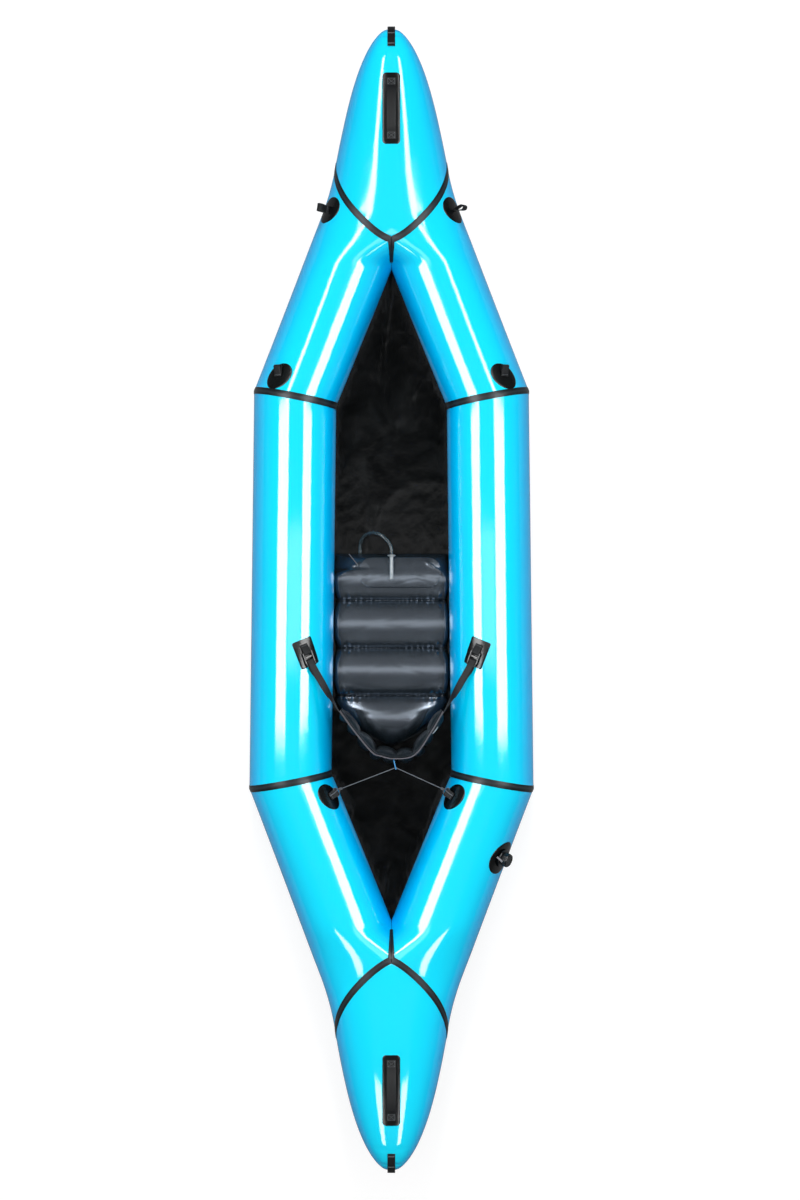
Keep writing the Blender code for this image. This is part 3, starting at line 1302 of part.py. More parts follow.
def build_valve(skins):
    """The one-way valve on the rear right tube: patch, flanged neck with a seat across it,
    sprung poppet, rubber seal, lobed screw cap and the leash that keeps the cap."""
    tube = bpy.data.objects["rear_right_tube"]
    spot = STERN.world(STERN.point(STERN.mitre + VALVE_PAST, math.radians(VALVE_ANGLE), 0.0))
    outward = Vector((math.cos(math.radians(VALVE_ANGLE)),
                      -STERN.lean * math.cos(math.radians(VALVE_ANGLE)),
                      math.sin(math.radians(VALVE_ANGLE))))
    place = Place(spot, (0.0, 1.0, 0.0), outward)
    hit = skins["rear_right_tube"].ray_cast(place.at(0.0, 0.0, OVERRUN * 4.0), -place.normal)[0]
    place = Place(hit, place.along, place.normal)
    patch, top = laid_patch("valve_patch", skins["rear_right_tube"], place,
                            disc_outline(VALVE_PATCH_RADIUS, 24), PATCH_THICKNESS, "seam tape",
                            rings=3, hole=VALVE_NECK_RADIUS + SEAT_GAP)
    base = Place(top.at(0.0, 0.0, SEAT_GAP), top.along, top.normal)
    cut_hole(tube, base, VALVE_NECK_RADIUS + SEAT_GAP, VALVE_NECK_DEPTH * 1.5, "valve_hole_cutter")
    collar = VALVE_FLANGE_HEIGHT
    seat_low = -VALVE_NECK_DEPTH / 2.0
    turned("valve_body", base,
           [(VALVE_NECK_RADIUS, -VALVE_NECK_DEPTH), (VALVE_NECK_RADIUS, 0.0),
            (VALVE_FLANGE_RADIUS, 0.0), (VALVE_FLANGE_RADIUS - HULL_WALL, collar),
            (VALVE_NECK_RADIUS, collar), (VALVE_NECK_RADIUS, VALVE_NECK_HEIGHT),
            (VALVE_NECK_BORE, VALVE_NECK_HEIGHT), (VALVE_NECK_BORE, seat_low + VALVE_SEAT_THICKNESS),
            (VALVE_SEAT_BORE, seat_low + VALVE_SEAT_THICKNESS), (VALVE_SEAT_BORE, seat_low),
            (VALVE_NECK_BORE, seat_low), (VALVE_NECK_BORE, -VALVE_NECK_DEPTH)], 24,
           "moulded plastic")
    head_top = seat_low - SEAT_GAP
    button = seat_low + VALVE_SEAT_THICKNESS + SPRING_WIRE * 2.0 + 0.5 * VALVE_NECK_BORE
    turned("valve_poppet", base,
           [(0.0, head_top - POPPET_HEAD_HEIGHT), (POPPET_HEAD_RADIUS, head_top - POPPET_HEAD_HEIGHT),
            (POPPET_HEAD_RADIUS, head_top), (POPPET_STEM_RADIUS, head_top),
            (POPPET_STEM_RADIUS, button), (SPRING_RADIUS + SPRING_WIRE, button),
            (SPRING_RADIUS + SPRING_WIRE, button + POPPET_TOP), (0.0, button + POPPET_TOP)], 16,
           "moulded plastic")
    low = seat_low + VALVE_SEAT_THICKNESS + SPRING_WIRE + SEAT_GAP
    high = button - SPRING_WIRE - SEAT_GAP
    coil = []
    for step in range(SPRING_TURNS * 10 + 1):
        share = step / (SPRING_TURNS * 10)
        turn = 2.0 * math.pi * SPRING_TURNS * share
        coil.append(base.at(SPRING_RADIUS * math.cos(turn), SPRING_RADIUS * math.sin(turn),
                            low + (high - low) * share))
    cord_tube("valve_spring", coil, SPRING_WIRE, 1, "spring steel")
    rim = VALVE_NECK_HEIGHT + SEAT_GAP
    turned("valve_seal", base,
           [(SEAL_BORE, rim), (VALVE_NECK_RADIUS, rim), (VALVE_NECK_RADIUS, rim + SEAL_THICKNESS),
            (SEAL_BORE, rim + SEAL_THICKNESS)], 24, "moulded plastic")
    roof = rim + SEAL_THICKNESS + SEAT_GAP
    skirt = VALVE_FLANGE_HEIGHT + SEAT_GAP
    bore = VALVE_NECK_RADIUS + SEAT_GAP
    turned("valve_cap", base,
           [(bore, skirt), (CAP_RADIUS, skirt), (CAP_RADIUS, roof),
            (CAP_RADIUS - CAP_LOBE_DEPTH, roof + CAP_WALL), (0.0, roof + CAP_WALL), (0.0, roof),
            (bore, roof)], 48, "moulded plastic", CAP_LOBES, CAP_LOBE_DEPTH,
           VALVE_NECK_RADIUS + CAP_WALL)


def build_packraft():
    clear_scene()
    skins = build_hull()
    build_mitre_tapes(skins)
    build_nose_tapes(skins)
    build_floor(skins)
    build_handles(skins)
    build_tip_loops()
    tops = build_discs(skins)
    seat = build_seat()
    build_seat_fittings(seat)
    backrest = build_backrest()
    build_straps(skins)
    build_rear_cord(tops, backrest)
    build_valve(skins)


build_packraft()
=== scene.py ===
"""A long inflatable packraft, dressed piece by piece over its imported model.

Frame: metres, +Z up, +Y towards the bow, +X to starboard, the origin on the ground under the
middle of the boat. A "reach" is a distance from the middle towards one end, and an "angle"
runs round a tube: 0 on its outer side, a quarter turn up on top, half a turn on the cockpit side.
"""
import math

import bmesh
import bpy
import numpy as np
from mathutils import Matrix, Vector


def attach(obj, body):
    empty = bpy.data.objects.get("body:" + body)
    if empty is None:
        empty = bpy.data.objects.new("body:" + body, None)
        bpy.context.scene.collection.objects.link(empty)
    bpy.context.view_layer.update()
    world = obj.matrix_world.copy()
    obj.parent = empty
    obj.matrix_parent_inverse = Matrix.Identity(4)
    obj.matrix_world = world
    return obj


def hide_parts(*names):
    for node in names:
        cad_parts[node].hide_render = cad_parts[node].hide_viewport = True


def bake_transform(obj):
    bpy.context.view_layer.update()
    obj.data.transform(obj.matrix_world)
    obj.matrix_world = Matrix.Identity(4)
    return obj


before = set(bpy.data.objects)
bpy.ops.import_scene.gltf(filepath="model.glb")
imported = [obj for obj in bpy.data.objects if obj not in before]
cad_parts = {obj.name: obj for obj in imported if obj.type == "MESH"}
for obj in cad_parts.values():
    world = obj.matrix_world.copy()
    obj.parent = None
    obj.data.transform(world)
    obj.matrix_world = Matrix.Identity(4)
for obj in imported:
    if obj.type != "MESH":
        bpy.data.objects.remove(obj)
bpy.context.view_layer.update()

# The studio. The boat lies on a white floor and is seen from nine metres straight above. A wide
# lamp overhead, one from the bow and a low one each side light it; its gloss shows a bar above
# and three strips each side instead. Camera and transmission rays see a pale backdrop.


def linear(hex_colour, alpha=1.0):
    """A hex colour as it is seen, turned to the linear values that the shaders take."""
    parts = [int(hex_colour[k:k + 2], 16) / 255 for k in (1, 3, 5)]
    return tuple(c / 12.92 if c <= 0.04045 else ((c + 0.055) / 1.055) ** 2.4
                 for c in parts) + (alpha,)


def add(tree, kind, settings=None, **sockets):
    """One node with its settings, and its inputs given as values or as other nodes' outputs."""
    made = tree.nodes.new("ShaderNode" + kind)
    for key, value in (settings or {}).items():
        setattr(made, key, value)
    for key, value in sockets.items():
        name = key.replace("_", " ")
        socket = made.inputs[int(name[1:])] if name[0] == "i" and name[1:].isdigit() else next(
            s for s in made.inputs if s.name.lower() == name.lower() and s.enabled)
        if isinstance(value, bpy.types.NodeSocket):
            tree.links.new(value, socket)
        else:
            socket.default_value = value
    return made


def finish_named(name):
    """An empty material with its output, ready for a shader."""
    material = bpy.data.materials.new(name)
    material.use_nodes = True
    material.node_tree.nodes.clear()
    return material, material.node_tree


def maths(tree, kind, *values):
    """The result of one Math node over values or other nodes' outputs."""
    sockets = {"i" + str(k): value for k, value in enumerate(values)}
    return add(tree, "Math", {"operation": kind}, **sockets).outputs[0]


def straight_rays(tree):
    """1 for rays straight from the camera or through something clear, and 0 for all others."""
    seen = add(tree, "LightPath").outputs
    return maths(tree, "MAXIMUM", seen["Is Camera Ray"], seen["Is Transmission Ray"])


SIDES = (("left", -1), ("right", 1))
WHITE = (1.0, 1.0, 1.0, 1.0)
scene = bpy.context.scene
camera = bpy.data.objects.new("view_from_above", bpy.data.cameras.new("view_from_above"))
camera.data.sensor_width = 36.0
camera.data.lens = 81.0
camera.data.clip_end = 60.0
camera.location = (0.0283, 0.0017, 9.137)
scene.collection.objects.link(camera)
scene.camera = camera

floor_mesh = bpy.data.meshes.new("studio_floor")
floor_mesh.from_pydata([(-30, -30, 0), (30, -30, 0), (30, 30, 0), (-30, 30, 0)], [], [(0, 1, 2, 3)])
studio_floor = bpy.data.objects.new("studio_floor", floor_mesh)
studio_floor.location.z = -0.0015
scene.collection.objects.link(studio_floor)
white_paint, tree = finish_named("white_floor_paint")
paint = add(tree, "BsdfDiffuse", Color=linear("#8f8f8f"))
glow = add(tree, "Emission", Color=WHITE, Strength=0.80)
dim = add(tree, "Emission", Color=WHITE, Strength=0.0)
lit = add(tree, "MixShader", Fac=straight_rays(tree), i1=dim.outputs[0], i2=glow.outputs[0])
both = add(tree, "AddShader", i0=paint.outputs[0], i1=lit.outputs[0])
add(tree, "OutputMaterial", Surface=both.outputs[0])
floor_mesh.materials.append(white_paint)

scene.view_settings.view_transform = "Standard"
scene.world = bpy.data.worlds.new("soft_room")
scene.world.use_nodes = True
air = scene.world.node_tree
room = air.nodes["Background"]
room.inputs["Color"].default_value = WHITE
room.inputs["Strength"].default_value = 0.12
backdrop = add(air, "Background", Color=WHITE, Strength=0.92)
swap = add(air, "MixShader", Fac=straight_rays(air), i1=room.outputs[0], i2=backdrop.outputs[0])
air.links.new(swap.outputs[0], air.nodes["World Output"].inputs["Surface"])


def lamp(name, place, width, length, watts, gloss_only=False):
    """A rectangular lamp turned to the middle of the boat, or, for gloss only, straight down. The
    camera sees none, diffuse faces are lit by the first kind alone and gloss shows the second."""
    light = bpy.data.lights.new(name, "AREA")
    light.shape = "RECTANGLE"
    light.size = width
    light.size_y = length
    light.energy = watts
    thing = bpy.data.objects.new(name, light)
    thing.location = place
    if not gloss_only:
        thing.rotation_euler = (-Vector(place)).to_track_quat("-Z", "Y").to_euler()
    scene.collection.objects.link(thing)
    thing.visible_camera = False
    thing.visible_diffuse = not gloss_only
    thing.visible_glossy = gloss_only
    return thing


lamp("overhead_soft_lamp", (0.0, 0.0, 3.6), width=4.0, length=6.0, watts=150.0)
lamp("key_lamp_from_the_bow", (0.0, 9.0, 7.0), width=1.6, length=1.6, watts=520.0)
lamp("gloss_bar", (0.0, 0.01, 3.0), width=1.8, length=0.62, watts=5.6, gloss_only=True)
for name, side in SIDES:
    lamp("low_fill_lamp_" + name, (side * 4.0, 0.0, 1.0), 4.0, 0.8, 50.0)
    lamp("strip_lamp_" + name, (side * 1.97, 0.155, 3.0), 1.85, 1.53, 103.0, gloss_only=True)
    lamp("strip_lamp_front_" + name, (side * 1.31, 1.76, 3.0), 0.42, 1.68, 25.0, gloss_only=True)
    lamp("strip_lamp_rear_" + name, (side * 1.35, -2.35, 3.0), 0.70, 1.6, 30.0, gloss_only=True)

# The hull. Eight sleeves of cyan coated nylon, welded into one tube with a nose at each end:
# two side tubes, four that converge, and two noses that rise to the tips. It is blown up hard,
# so it is smooth and glossy, with small puckers where the cloth is gathered at a seam.
TUBE_RADIUS = 0.137
CENTRE_HEIGHT = 0.1385
SHOULDER_BLEND = 0.06
NOSE_PLAN_POWER = 1.33
NOSE_SIDE_POWER = 2.6
SEAM_SLANT = 0.65
SEAM_DROP = 1.05
HULL_WALL = 0.0010
SKIN_GAP = 0.0003


def halved(change, low, high):
    """Where a function of whole arrays passes zero between low and high, by repeated halving."""
    low = np.array(low, float)
    high = np.array(high, float)
    sign = change(low) > 0.0
    for _ in range(42):
        middle = (low + high) * 0.5
        same = (change(middle) > 0.0) == sign
        low = np.where(same, middle, low)
        high = np.where(same, high, middle)
    return (low + high) * 0.5


class HullEnd:
    """One end of the hull in (out, reach, up). The tube's centre line leaves the side tube at a
    mitre, runs straight inwards and is eased on to the middle plane; its section is an ellipse
    whose half width follows the boat's outline and whose half height closes at the tip."""

    def __init__(self, way, mitre, half_gap, length, fork_out, join, merge_length, nose_half,
                 nose_start, nose_length, rise):
        """Takes the sizes and works out the tube's slant, the reach at which its inner side
        meets the middle plane, and the angle and height of the fork on top."""
        self.way, self.mitre, self.mitre_out = way, mitre, half_gap + TUBE_RADIUS
        self.lean = (self.mitre_out - fork_out) / length
        self.mitre_lean = math.tan(math.atan(self.lean) * 0.5)
        self.stretch = math.sqrt(1.0 + self.lean ** 2)
        self.fork = fork = mitre + length
        self.join, self.merge, self.nose_half = join, fork + merge_length, nose_half
        self.nose_reach, self.tip, self.rise = fork + nose_start, fork + nose_length, rise
        self.contact = float(halved(lambda r: self.line_out(r) - self.stretch * self.radius(r),
                                    mitre, fork))
        self.fork_angle = float(self.crown(np.array(fork)))
        self.fork_up = float(self.half_height(np.array(fork)) * math.sin(self.fork_angle))

    def radius(self, reach):
        """The tube's radius: it goes evenly from the side tube's to the one at the fork."""
        share = np.clip((reach - self.mitre) / (self.fork - self.mitre), 0.0, 1.0)
        return TUBE_RADIUS + (self.join - TUBE_RADIUS) * share

    def line_out(self, reach):
        """How far out the straight centre line is: less by the same for each step of reach."""
        return self.mitre_out - self.lean * (reach - self.mitre)

    def centre_out(self, reach):
        """The centre line itself: eased from the straight one, at the contact, to the middle."""
        share = np.clip((reach - self.contact) / (self.merge - self.contact), 0.0, 1.0)
        return self.line_out(reach) * (1.0 - share * share * (3.0 - 2.0 * share))

    def centre_up(self, reach):
        """The centre line's height: it rises with the square of the share from mitre to tip."""
        share = np.clip((reach - self.mitre) / (self.tip - self.mitre), 0.0, None)
        return CENTRE_HEIGHT + self.rise * share * share

    def half_width(self, reach):
        """The boat's outline: the wider of the tube's outer side and the nose's blunt end, with a
        rounded shoulder where they cross."""
        tube = self.line_out(reach) + self.stretch * self.radius(reach)
        share = np.clip((reach - self.nose_reach) / (self.tip - self.nose_reach), 0.0, 1.0)
        nose = self.nose_half * np.sqrt(np.clip(1.0 - share ** NOSE_PLAN_POWER, 0.0, None))
        overlap = np.clip(SHOULDER_BLEND - np.abs(tube - nose), 0.0, None) / SHOULDER_BLEND
        return np.maximum(tube, nose) + overlap * overlap * SHOULDER_BLEND * 0.25

    def half_height(self, reach):
        """Half the section's height: the radius, closed like a blunt end from fork to tip."""
        share = np.clip((reach - self.fork) / (self.tip - self.fork), 0.0, 1.0)
        return self.radius(reach) * np.sqrt(np.clip(1.0 - share ** NOSE_SIDE_POWER, 0.0, None))

    def point(self, reach, angle):
        """A place on the cloth: the ellipse of the section, read at an angle."""
        out = self.centre_out(reach)
        wide = self.half_width(reach) - out
        tall = self.half_height(reach)
        return np.stack([out + wide * np.cos(angle), reach + 0.0 * angle,
                         self.centre_up(reach) + tall * np.sin(angle)], axis=-1)

    def angle_at(self, reach, out, least=-1.0):
        """The angle on the upper half at which the cloth is so far out; least caps its cosine."""
        middle = self.centre_out(reach)
        return np.arccos(np.clip((out - middle) / (self.half_width(reach) - middle), least, 1.0))

    def crown(self, reach):
        """The angle at which the section crosses the middle plane, a quarter turn at the tip."""
        out = self.centre_out(reach)
        wide = self.half_width(reach) - out
        return np.where(wide > 1e-6, np.arccos(np.clip(-out / np.maximum(wide, 1e-6), -1.0, 1.0)),
                        math.pi * 0.5)

    def slopes(self, reach, angle):
        """The surface's change with reach and with angle, and the normal that faces out."""
        step = 4e-5
        back = np.minimum(reach, self.tip - 2.5 * step)
        along = (self.point(back + step, angle) - self.point(back - step, angle)) / (2.0 * step)
        turn = 1e-3
        round_it = (self.point(back, angle + turn) - self.point(back, angle - turn)) / (2.0 * turn)
        normal = np.cross(along, round_it)
        size = np.linalg.norm(normal, axis=-1, keepdims=True)
        return along, round_it, normal / np.maximum(size, 1e-12)

    def skin(self, side, reach, angle, lift=0.0):
        """The point at a reach and angle, raised from the cloth by lift, in the boat's frame."""
        spot = self.point(reach, angle)
        normal = self.slopes(reach, angle)[2]
        return (spot + normal * np.asarray(lift)[..., None]) * np.array([side, self.way, 1.0])

    def mitre_at(self, angle):
        """The reach of the mitre plane at an angle: the plane leans half as much as the tube."""
        def past(reach):
            """How far a reach lies past the plane."""
            out = self.point(reach, angle)[..., 0]
            return reach - self.mitre - self.mitre_lean * (out - self.mitre_out)
        return halved(past, np.full(np.shape(angle), self.mitre - TUBE_RADIUS),
                      np.full(np.shape(angle), self.mitre + TUBE_RADIUS))

    def seam_past(self, reach, angle):
        """How far a place lies past the V seam, which starts at the fork and moves on with the
        distance out and with the drop below the fork's height."""
        spot = self.point(reach, angle)
        down = self.fork_up - np.abs(spot[..., 2] - self.centre_up(reach))
        return reach - self.fork - SEAM_SLANT * spot[..., 0] - SEAM_DROP * down

    def seam_at(self, angle):
        """The reach of the V seam at an angle."""
        return halved(lambda r: self.seam_past(r, angle), np.full(np.shape(angle), self.contact),
                      np.full(np.shape(angle), self.tip - 0.01))

    def middle_at(self, angle):
        """The reach at which the cloth comes within half a skin gap of the middle plane."""
        return halved(lambda r: self.point(r, angle)[..., 0] - SKIN_GAP * 0.5,
                      np.full(np.shape(angle), self.mitre), np.full(np.shape(angle), self.merge))

    def rim_at(self, angle):
        """Where a line along the tube ends: at the V seam, or at the middle plane below it."""
        seam = self.seam_at(angle) - SKIN_GAP
        inner = np.abs(angle) > math.pi * 0.5
        return np.where(inner, np.minimum(seam, self.middle_at(np.where(inner, angle, 2.8))), seam)


BOW = HullEnd(1, mitre=0.672, half_gap=0.1835, length=0.508, fork_out=0.1173, join=0.140,
              merge_length=0.090, nose_half=0.172, nose_start=0.263, nose_length=0.677, rise=0.215)
STERN = HullEnd(-1, mitre=0.600, half_gap=0.1990, length=0.574, fork_out=0.1087, join=0.1435,
                merge_length=0.096, nose_half=0.176, nose_start=0.263, nose_length=0.683, rise=0.190)


def surface(name, grid, close_rows=False, close_columns=False, caps=False, weld=2e-6):
    """A closed mesh over a grid of points, with its faces turned outwards by its own volume."""
    grid = np.asarray(grid, float)
    rows, columns = grid.shape[:2]
    index = np.arange(rows * columns).reshape(rows, columns)
    if close_rows:
        index = np.concatenate([index, index[:1]])
    if close_columns:
        index = np.concatenate([index, index[:, :1]], axis=1)
    quads = np.stack([index[:-1, :-1], index[:-1, 1:], index[1:, 1:], index[1:, :-1]], -1)
    faces = [tuple(f) for f in quads.reshape(-1, 4).tolist()]
    if caps:
        faces += [tuple(index[0, :columns].tolist()[::-1]), tuple(index[-1, :columns].tolist())]
    return shape(name, grid.reshape(-1, 3), faces, weld)


def shape(name, points, faces, weld=2e-6):
    """A mesh object from points and faces, welded, smooth, and turned outwards."""
    mesh = bpy.data.meshes.new(name)
    mesh.from_pydata(np.asarray(points, float).tolist(), [], faces)
    work = bmesh.new()
    work.from_mesh(mesh)
    bmesh.ops.remove_doubles(work, verts=work.verts, dist=weld)
    bmesh.ops.dissolve_degenerate(work, edges=work.edges, dist=weld * 0.5)
    bmesh.ops.delete(work, geom=[e for e in work.edges if e.is_wire], context="EDGES")
    if work.calc_volume(signed=True) < 0.0:
        bmesh.ops.reverse_faces(work, faces=work.faces)
    work.to_mesh(mesh)
    work.free()
    mesh.shade_smooth()
    thing = bpy.data.objects.new(name, mesh)
    scene.collection.objects.link(thing)
    return thing


def dress(piece, material, body, slot, *nodes):
    """Gives a piece its finish, the body it moves with and the CAD nodes it stands for."""
    piece.data.materials.clear()
    piece.data.materials.append(material)
    if body:
        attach(piece, body)
    if nodes:
        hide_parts(*nodes)
    return piece


def noise(tree, place, scale, detail, **more):
    """Noise from 0 to 1: so many blotches to the metre, and so many finer layers of it."""
    return add(tree, "TexNoise", Vector=place, Scale=scale, Detail=detail, **more).outputs["Fac"]


def ramp(tree, factor, dark, pale, start=0.0, stop=1.0):
    """A colour that goes evenly from dark to pale while the factor goes from start to stop."""
    shade = add(tree, "ValToRGB", Fac=factor)
    for k, position, colour in ((0, start, dark), (1, stop, pale)):
        shade.color_ramp.elements[k].position = position
        shade.color_ramp.elements[k].color = linear(colour)
    return shade.outputs["Color"]


def bumps(tree, *layers):
    """The normal of bumps laid over each other, each a height, a strength and a distance."""
    under = {}
    for height, strength, distance in layers:
        made = add(tree, "Bump", Strength=strength, Distance=distance, Height=height, **under)
        under = {"Normal": made.outputs[0]}
    return made.outputs[0]


def shaded(material, **sockets):
    """Gives a material its one shader, with these sockets, and joins it to the output."""
    shader = add(material.node_tree, "BsdfPrincipled", **sockets)
    add(material.node_tree, "OutputMaterial", Surface=shader.outputs[0])
    return material


def hull_cloth():
    """Coated nylon: a mottled deeper blue, mixed into a pale cyan as the face turns up, so the
    crown is painted lighter as painted light and the flanks stay darker as painted shade; a
    wet-looking polyurethane skin over a fine weave, and long shallow ripples from the cloth's
    pull that make the reflected lamps waver a little. Its index is above polyurethane's 1.5,
    for the strength of the gloss."""
    material, tree = finish_named("cyan_coated_nylon")
    place = add(tree, "TexCoord").outputs["Object"]
    stretched = add(tree, "Mapping", Vector=place, Scale=(1.0, 0.35, 1.0)).outputs[0]
    ripple = noise(tree, stretched, 9.0, 3.0, Roughness=0.45)
    weave = noise(tree, place, 420.0, 2.0)
    mottle = noise(tree, place, 3.5, 4.0, Roughness=0.6)
    painted_flank_shade = ramp(tree, mottle, "#00b2f2", "#00b9f8", 0.30, 0.72)
    # Painted light: how far each face points up mixes in the pale cyan, so the crown is painted
    # lighter and the flanks keep a darker, mottled blue as painted shade.
    painted_light_facing = add(tree, "SeparateXYZ", Vector=add(tree, "TexCoord").outputs["Normal"])
    crown = add(tree, "MapRange", {"interpolation_type": "SMOOTHSTEP"}, Value=painted_light_facing.outputs["Z"],
                From_Min=0.42, From_Max=0.98)
    colour = add(tree, "Mix", {"data_type": "RGBA"}, Factor=crown.outputs[0], A=painted_flank_shade,
                 B=linear("#00dfff"))
    polish = add(tree, "MapRange", Value=mottle, From_Min=0.3, From_Max=0.7, To_Min=0.06,
                 To_Max=0.09)
    return shaded(material, Base_Color=colour.outputs[2], Roughness=polish.outputs[0], IOR=1.80,
                  Normal=bumps(tree, (ripple, 0.22, 0.004), (weave, 0.10, 0.0004)))


cyan_nylon = hull_cloth()
WALLS = (0.0, -HULL_WALL)
MITRE_PUCKERS = (0.017, 0.028, 0.0016)
SEAM_PUCKERS = (0.021, 0.030, 0.0008)


def puckers(distance, angle, pitch, reach, depth):
    """Small folds square to a seam, so far apart and so deep: a wave round the tube that dies
    away over its reach from the seam."""
    along = angle * TUBE_RADIUS / pitch
    wave = 0.5 - 0.5 * np.cos(along * 2.0 * math.pi + 1.7 * np.sin(along * 1.31))
    return -depth * wave * np.exp(-(distance / reach) ** 2)


def eased(count):
    """Shares from 0 to 1 that lie closer together towards both ends."""
    return 0.5 - 0.5 * np.cos(np.linspace(0.0, math.pi, count))


def around(count):
    """Angles evenly round a full turn."""
    return np.linspace(0.0, 2.0 * math.pi, count, endpoint=False)


def sleeve(name, node, walls):
    """A closed sleeve of hull cloth, out along its outer wall and back along its inner one."""
    grid = np.concatenate([walls[0], walls[1][::-1]])
    piece = surface(name, grid, close_rows=True, close_columns=True)
    return dress(piece, cyan_nylon, "boat", "hull_fabric", node)


def converging_tube(end, side, name, node):
    """The tube between mitre and V seam: lines of constant angle, each ruled between the mitre
    plane and the V seam, with puckers at both."""
    outer = np.linspace(end.fork_angle, -end.fork_angle, 73)
    inner = np.linspace(-end.fork_angle, end.fork_angle - 2.0 * math.pi, 42)[1:-1]
    angle = np.concatenate([outer, inner])
    wrapped = np.where(angle < -math.pi, angle + 2.0 * math.pi, angle)
    start = end.mitre_at(wrapped) + SKIN_GAP * 0.5
    stop = end.rim_at(wrapped)
    reach = start + (stop - start) * eased(64)[:, None]
    turn = np.broadcast_to(wrapped, reach.shape)
    fold = puckers(reach - start, turn, *MITRE_PUCKERS) * np.clip(-np.cos(turn), 0.0, 1.0)
    fold += puckers(stop - reach, turn, *SEAM_PUCKERS)
    sleeve(name, node, [end.skin(side, reach, turn, fold + depth) for depth in WALLS])


def nose(end, name, node):
    """The nose past the V seam: rings of constant share of the crown angle over both sides, which
    close to the tip, with two gathered folds each side of the tip."""
    share = np.linspace(1.0, -1.0, 73)
    rim = halved(lambda r: end.seam_past(r, share * end.crown(r)), np.full(share.shape, end.contact),
                 np.full(share.shape, end.tip - 0.01)) + SKIN_GAP
    rise = np.sin(np.linspace(0.0, math.pi * 0.5, 76))
    reach = rim + (end.tip - rim) * rise[:, None]
    turn = share * end.crown(reach)
    fold = puckers(reach - rim, turn, *SEAM_PUCKERS)
    left = end.tip - reach
    crest = np.abs(turn) - 0.9
    for depth, line, width, angle, spread in (
            (0.0022, 0.022 + 0.010 * crest ** 2, 0.0045, 1.15, 0.38),
            (0.0011, 0.078 - 0.012 * crest, 0.0060, 1.2, 0.25)):
        fold -= depth * np.exp(-((left - line) / width) ** 2) * np.exp(
            -((np.abs(turn) - angle) / spread) ** 2)
    walls = []
    for depth in WALLS:
        right = end.skin(1, reach, turn, fold + depth)
        right[:, [0, -1], 0] = 0.0
        right[-1] = (0.0, end.way * (end.tip + depth), float(end.centre_up(end.tip)))
        mirrored = right[:, -2:0:-1] * np.array([-1.0, 1.0, 1.0])
        walls.append(np.concatenate([right, mirrored], axis=1))
    sleeve(name, node, walls)


def side_tube_point(side, share, angle, lift=0.0):
    """A point of a side tube: share 0 at the rear mitre to 1 at the front one, at an angle."""
    rear = STERN.point(STERN.mitre_at(angle), angle) * np.array([1.0, -1.0, 1.0])
    front = BOW.point(BOW.mitre_at(angle), angle)
    spot = rear + (front - rear) * np.asarray(share)[..., None]
    normal = np.stack([np.cos(angle), 0.0 * angle, np.sin(angle)], -1)
    return (spot + normal * np.asarray(lift)[..., None]) * np.array([side, 1.0, 1.0])


def side_tube(side, name, node):
    """A straight tube ruled between the two mitre planes, with puckers at both."""
    angle = around(112)
    angle = np.where(angle > math.pi, angle - 2.0 * math.pi, angle)
    share, turn = np.meshgrid(0.0002 + 0.9996 * eased(90), angle, indexing="ij")
    length = 1.27
    edge = np.minimum(share, 1.0 - share) * length
    fold = puckers(edge, turn, *MITRE_PUCKERS) * np.clip(-np.cos(turn), 0.0, 1.0)
    sleeve(name, node, [side_tube_point(side, share, turn, fold + depth) for depth in WALLS])


ENDS = (("bow", "front", BOW), ("stern", "rear", STERN))
for end_name, part, end in ENDS:
    nose(end, "hull_" + end_name + "_nose", end_name + "_nose")
    for side_name, side in SIDES:
        converging_tube(end, side, "hull_" + part + "_" + side_name, part + "_" + side_name + "_tube")
for side_name, side in SIDES:
    side_tube(side, "hull_side_" + side_name, "mid_" + side_name + "_tube")

# The seam tapes. Bands of charcoal coated nylon 22 mm wide, welded over the four mitre seams
# and the two V seams; each V has a tail of the same dark tape down the crease between the
# tubes, a dark strip that stands in for the crease's shade.
TAPE_HALF = 0.0112
TAPE_THICK = 0.0008


def tape_nylon():
    """Charcoal coated nylon with a satin face: its colour is a little paler down the middle of the
    band.
    """
    material, tree = finish_named("charcoal_seam_tape")
    across = add(tree, "SeparateXYZ", Vector=add(tree, "UVMap").outputs[0]).outputs["Y"]
    place = add(tree, "TexCoord").outputs["Object"]
    blend = maths(tree, "MULTIPLY_ADD", noise(tree, place, 60.0, 3.0), 0.35, across)
    shade = ramp(tree, blend, "#11171a", "#11171a", 0.30, 0.95)
    shade.node.color_ramp.elements.new(0.66).color = linear("#252e34")
    return shaded(material, Base_Color=shade, Roughness=0.34, IOR=1.36,
                  Normal=bumps(tree, (noise(tree, place, 700.0, 1.0), 0.2, 0.0004)))


charcoal_tape = tape_nylon()
TAPE_SPREAD = np.array([-1.0, -0.97, -0.85, -0.5, -0.18, 0.0, 0.18, 0.5, 0.85, 0.97, 1.0])
TAPE_RISE = np.array([0.05, 0.7, 0.9, 0.95, 1.0, 1.08, 1.0, 0.95, 0.9, 0.7, 0.05])
TAPE_LOW_OUTER = 0.80
TAPE_LOW_INNER = 1.42


def unit(vector):
    """A vector, or each of a row of vectors, brought to length 1."""
    return vector / np.linalg.norm(vector, axis=-1, keepdims=True)


def lay_uv(piece, along, across):
    """Gives a grid's mesh its UVs: U from the row's value in along, V from the column's in across."""
    mesh = piece.data
    corner = np.empty(len(mesh.loops), int)
    mesh.loops.foreach_get("vertex_index", corner)
    uv = np.stack([along[corner // len(across)], across[corner % len(across)]], 1)
    mesh.uv_layers.new(name="UVMap").data.foreach_set("uv", uv.ravel())


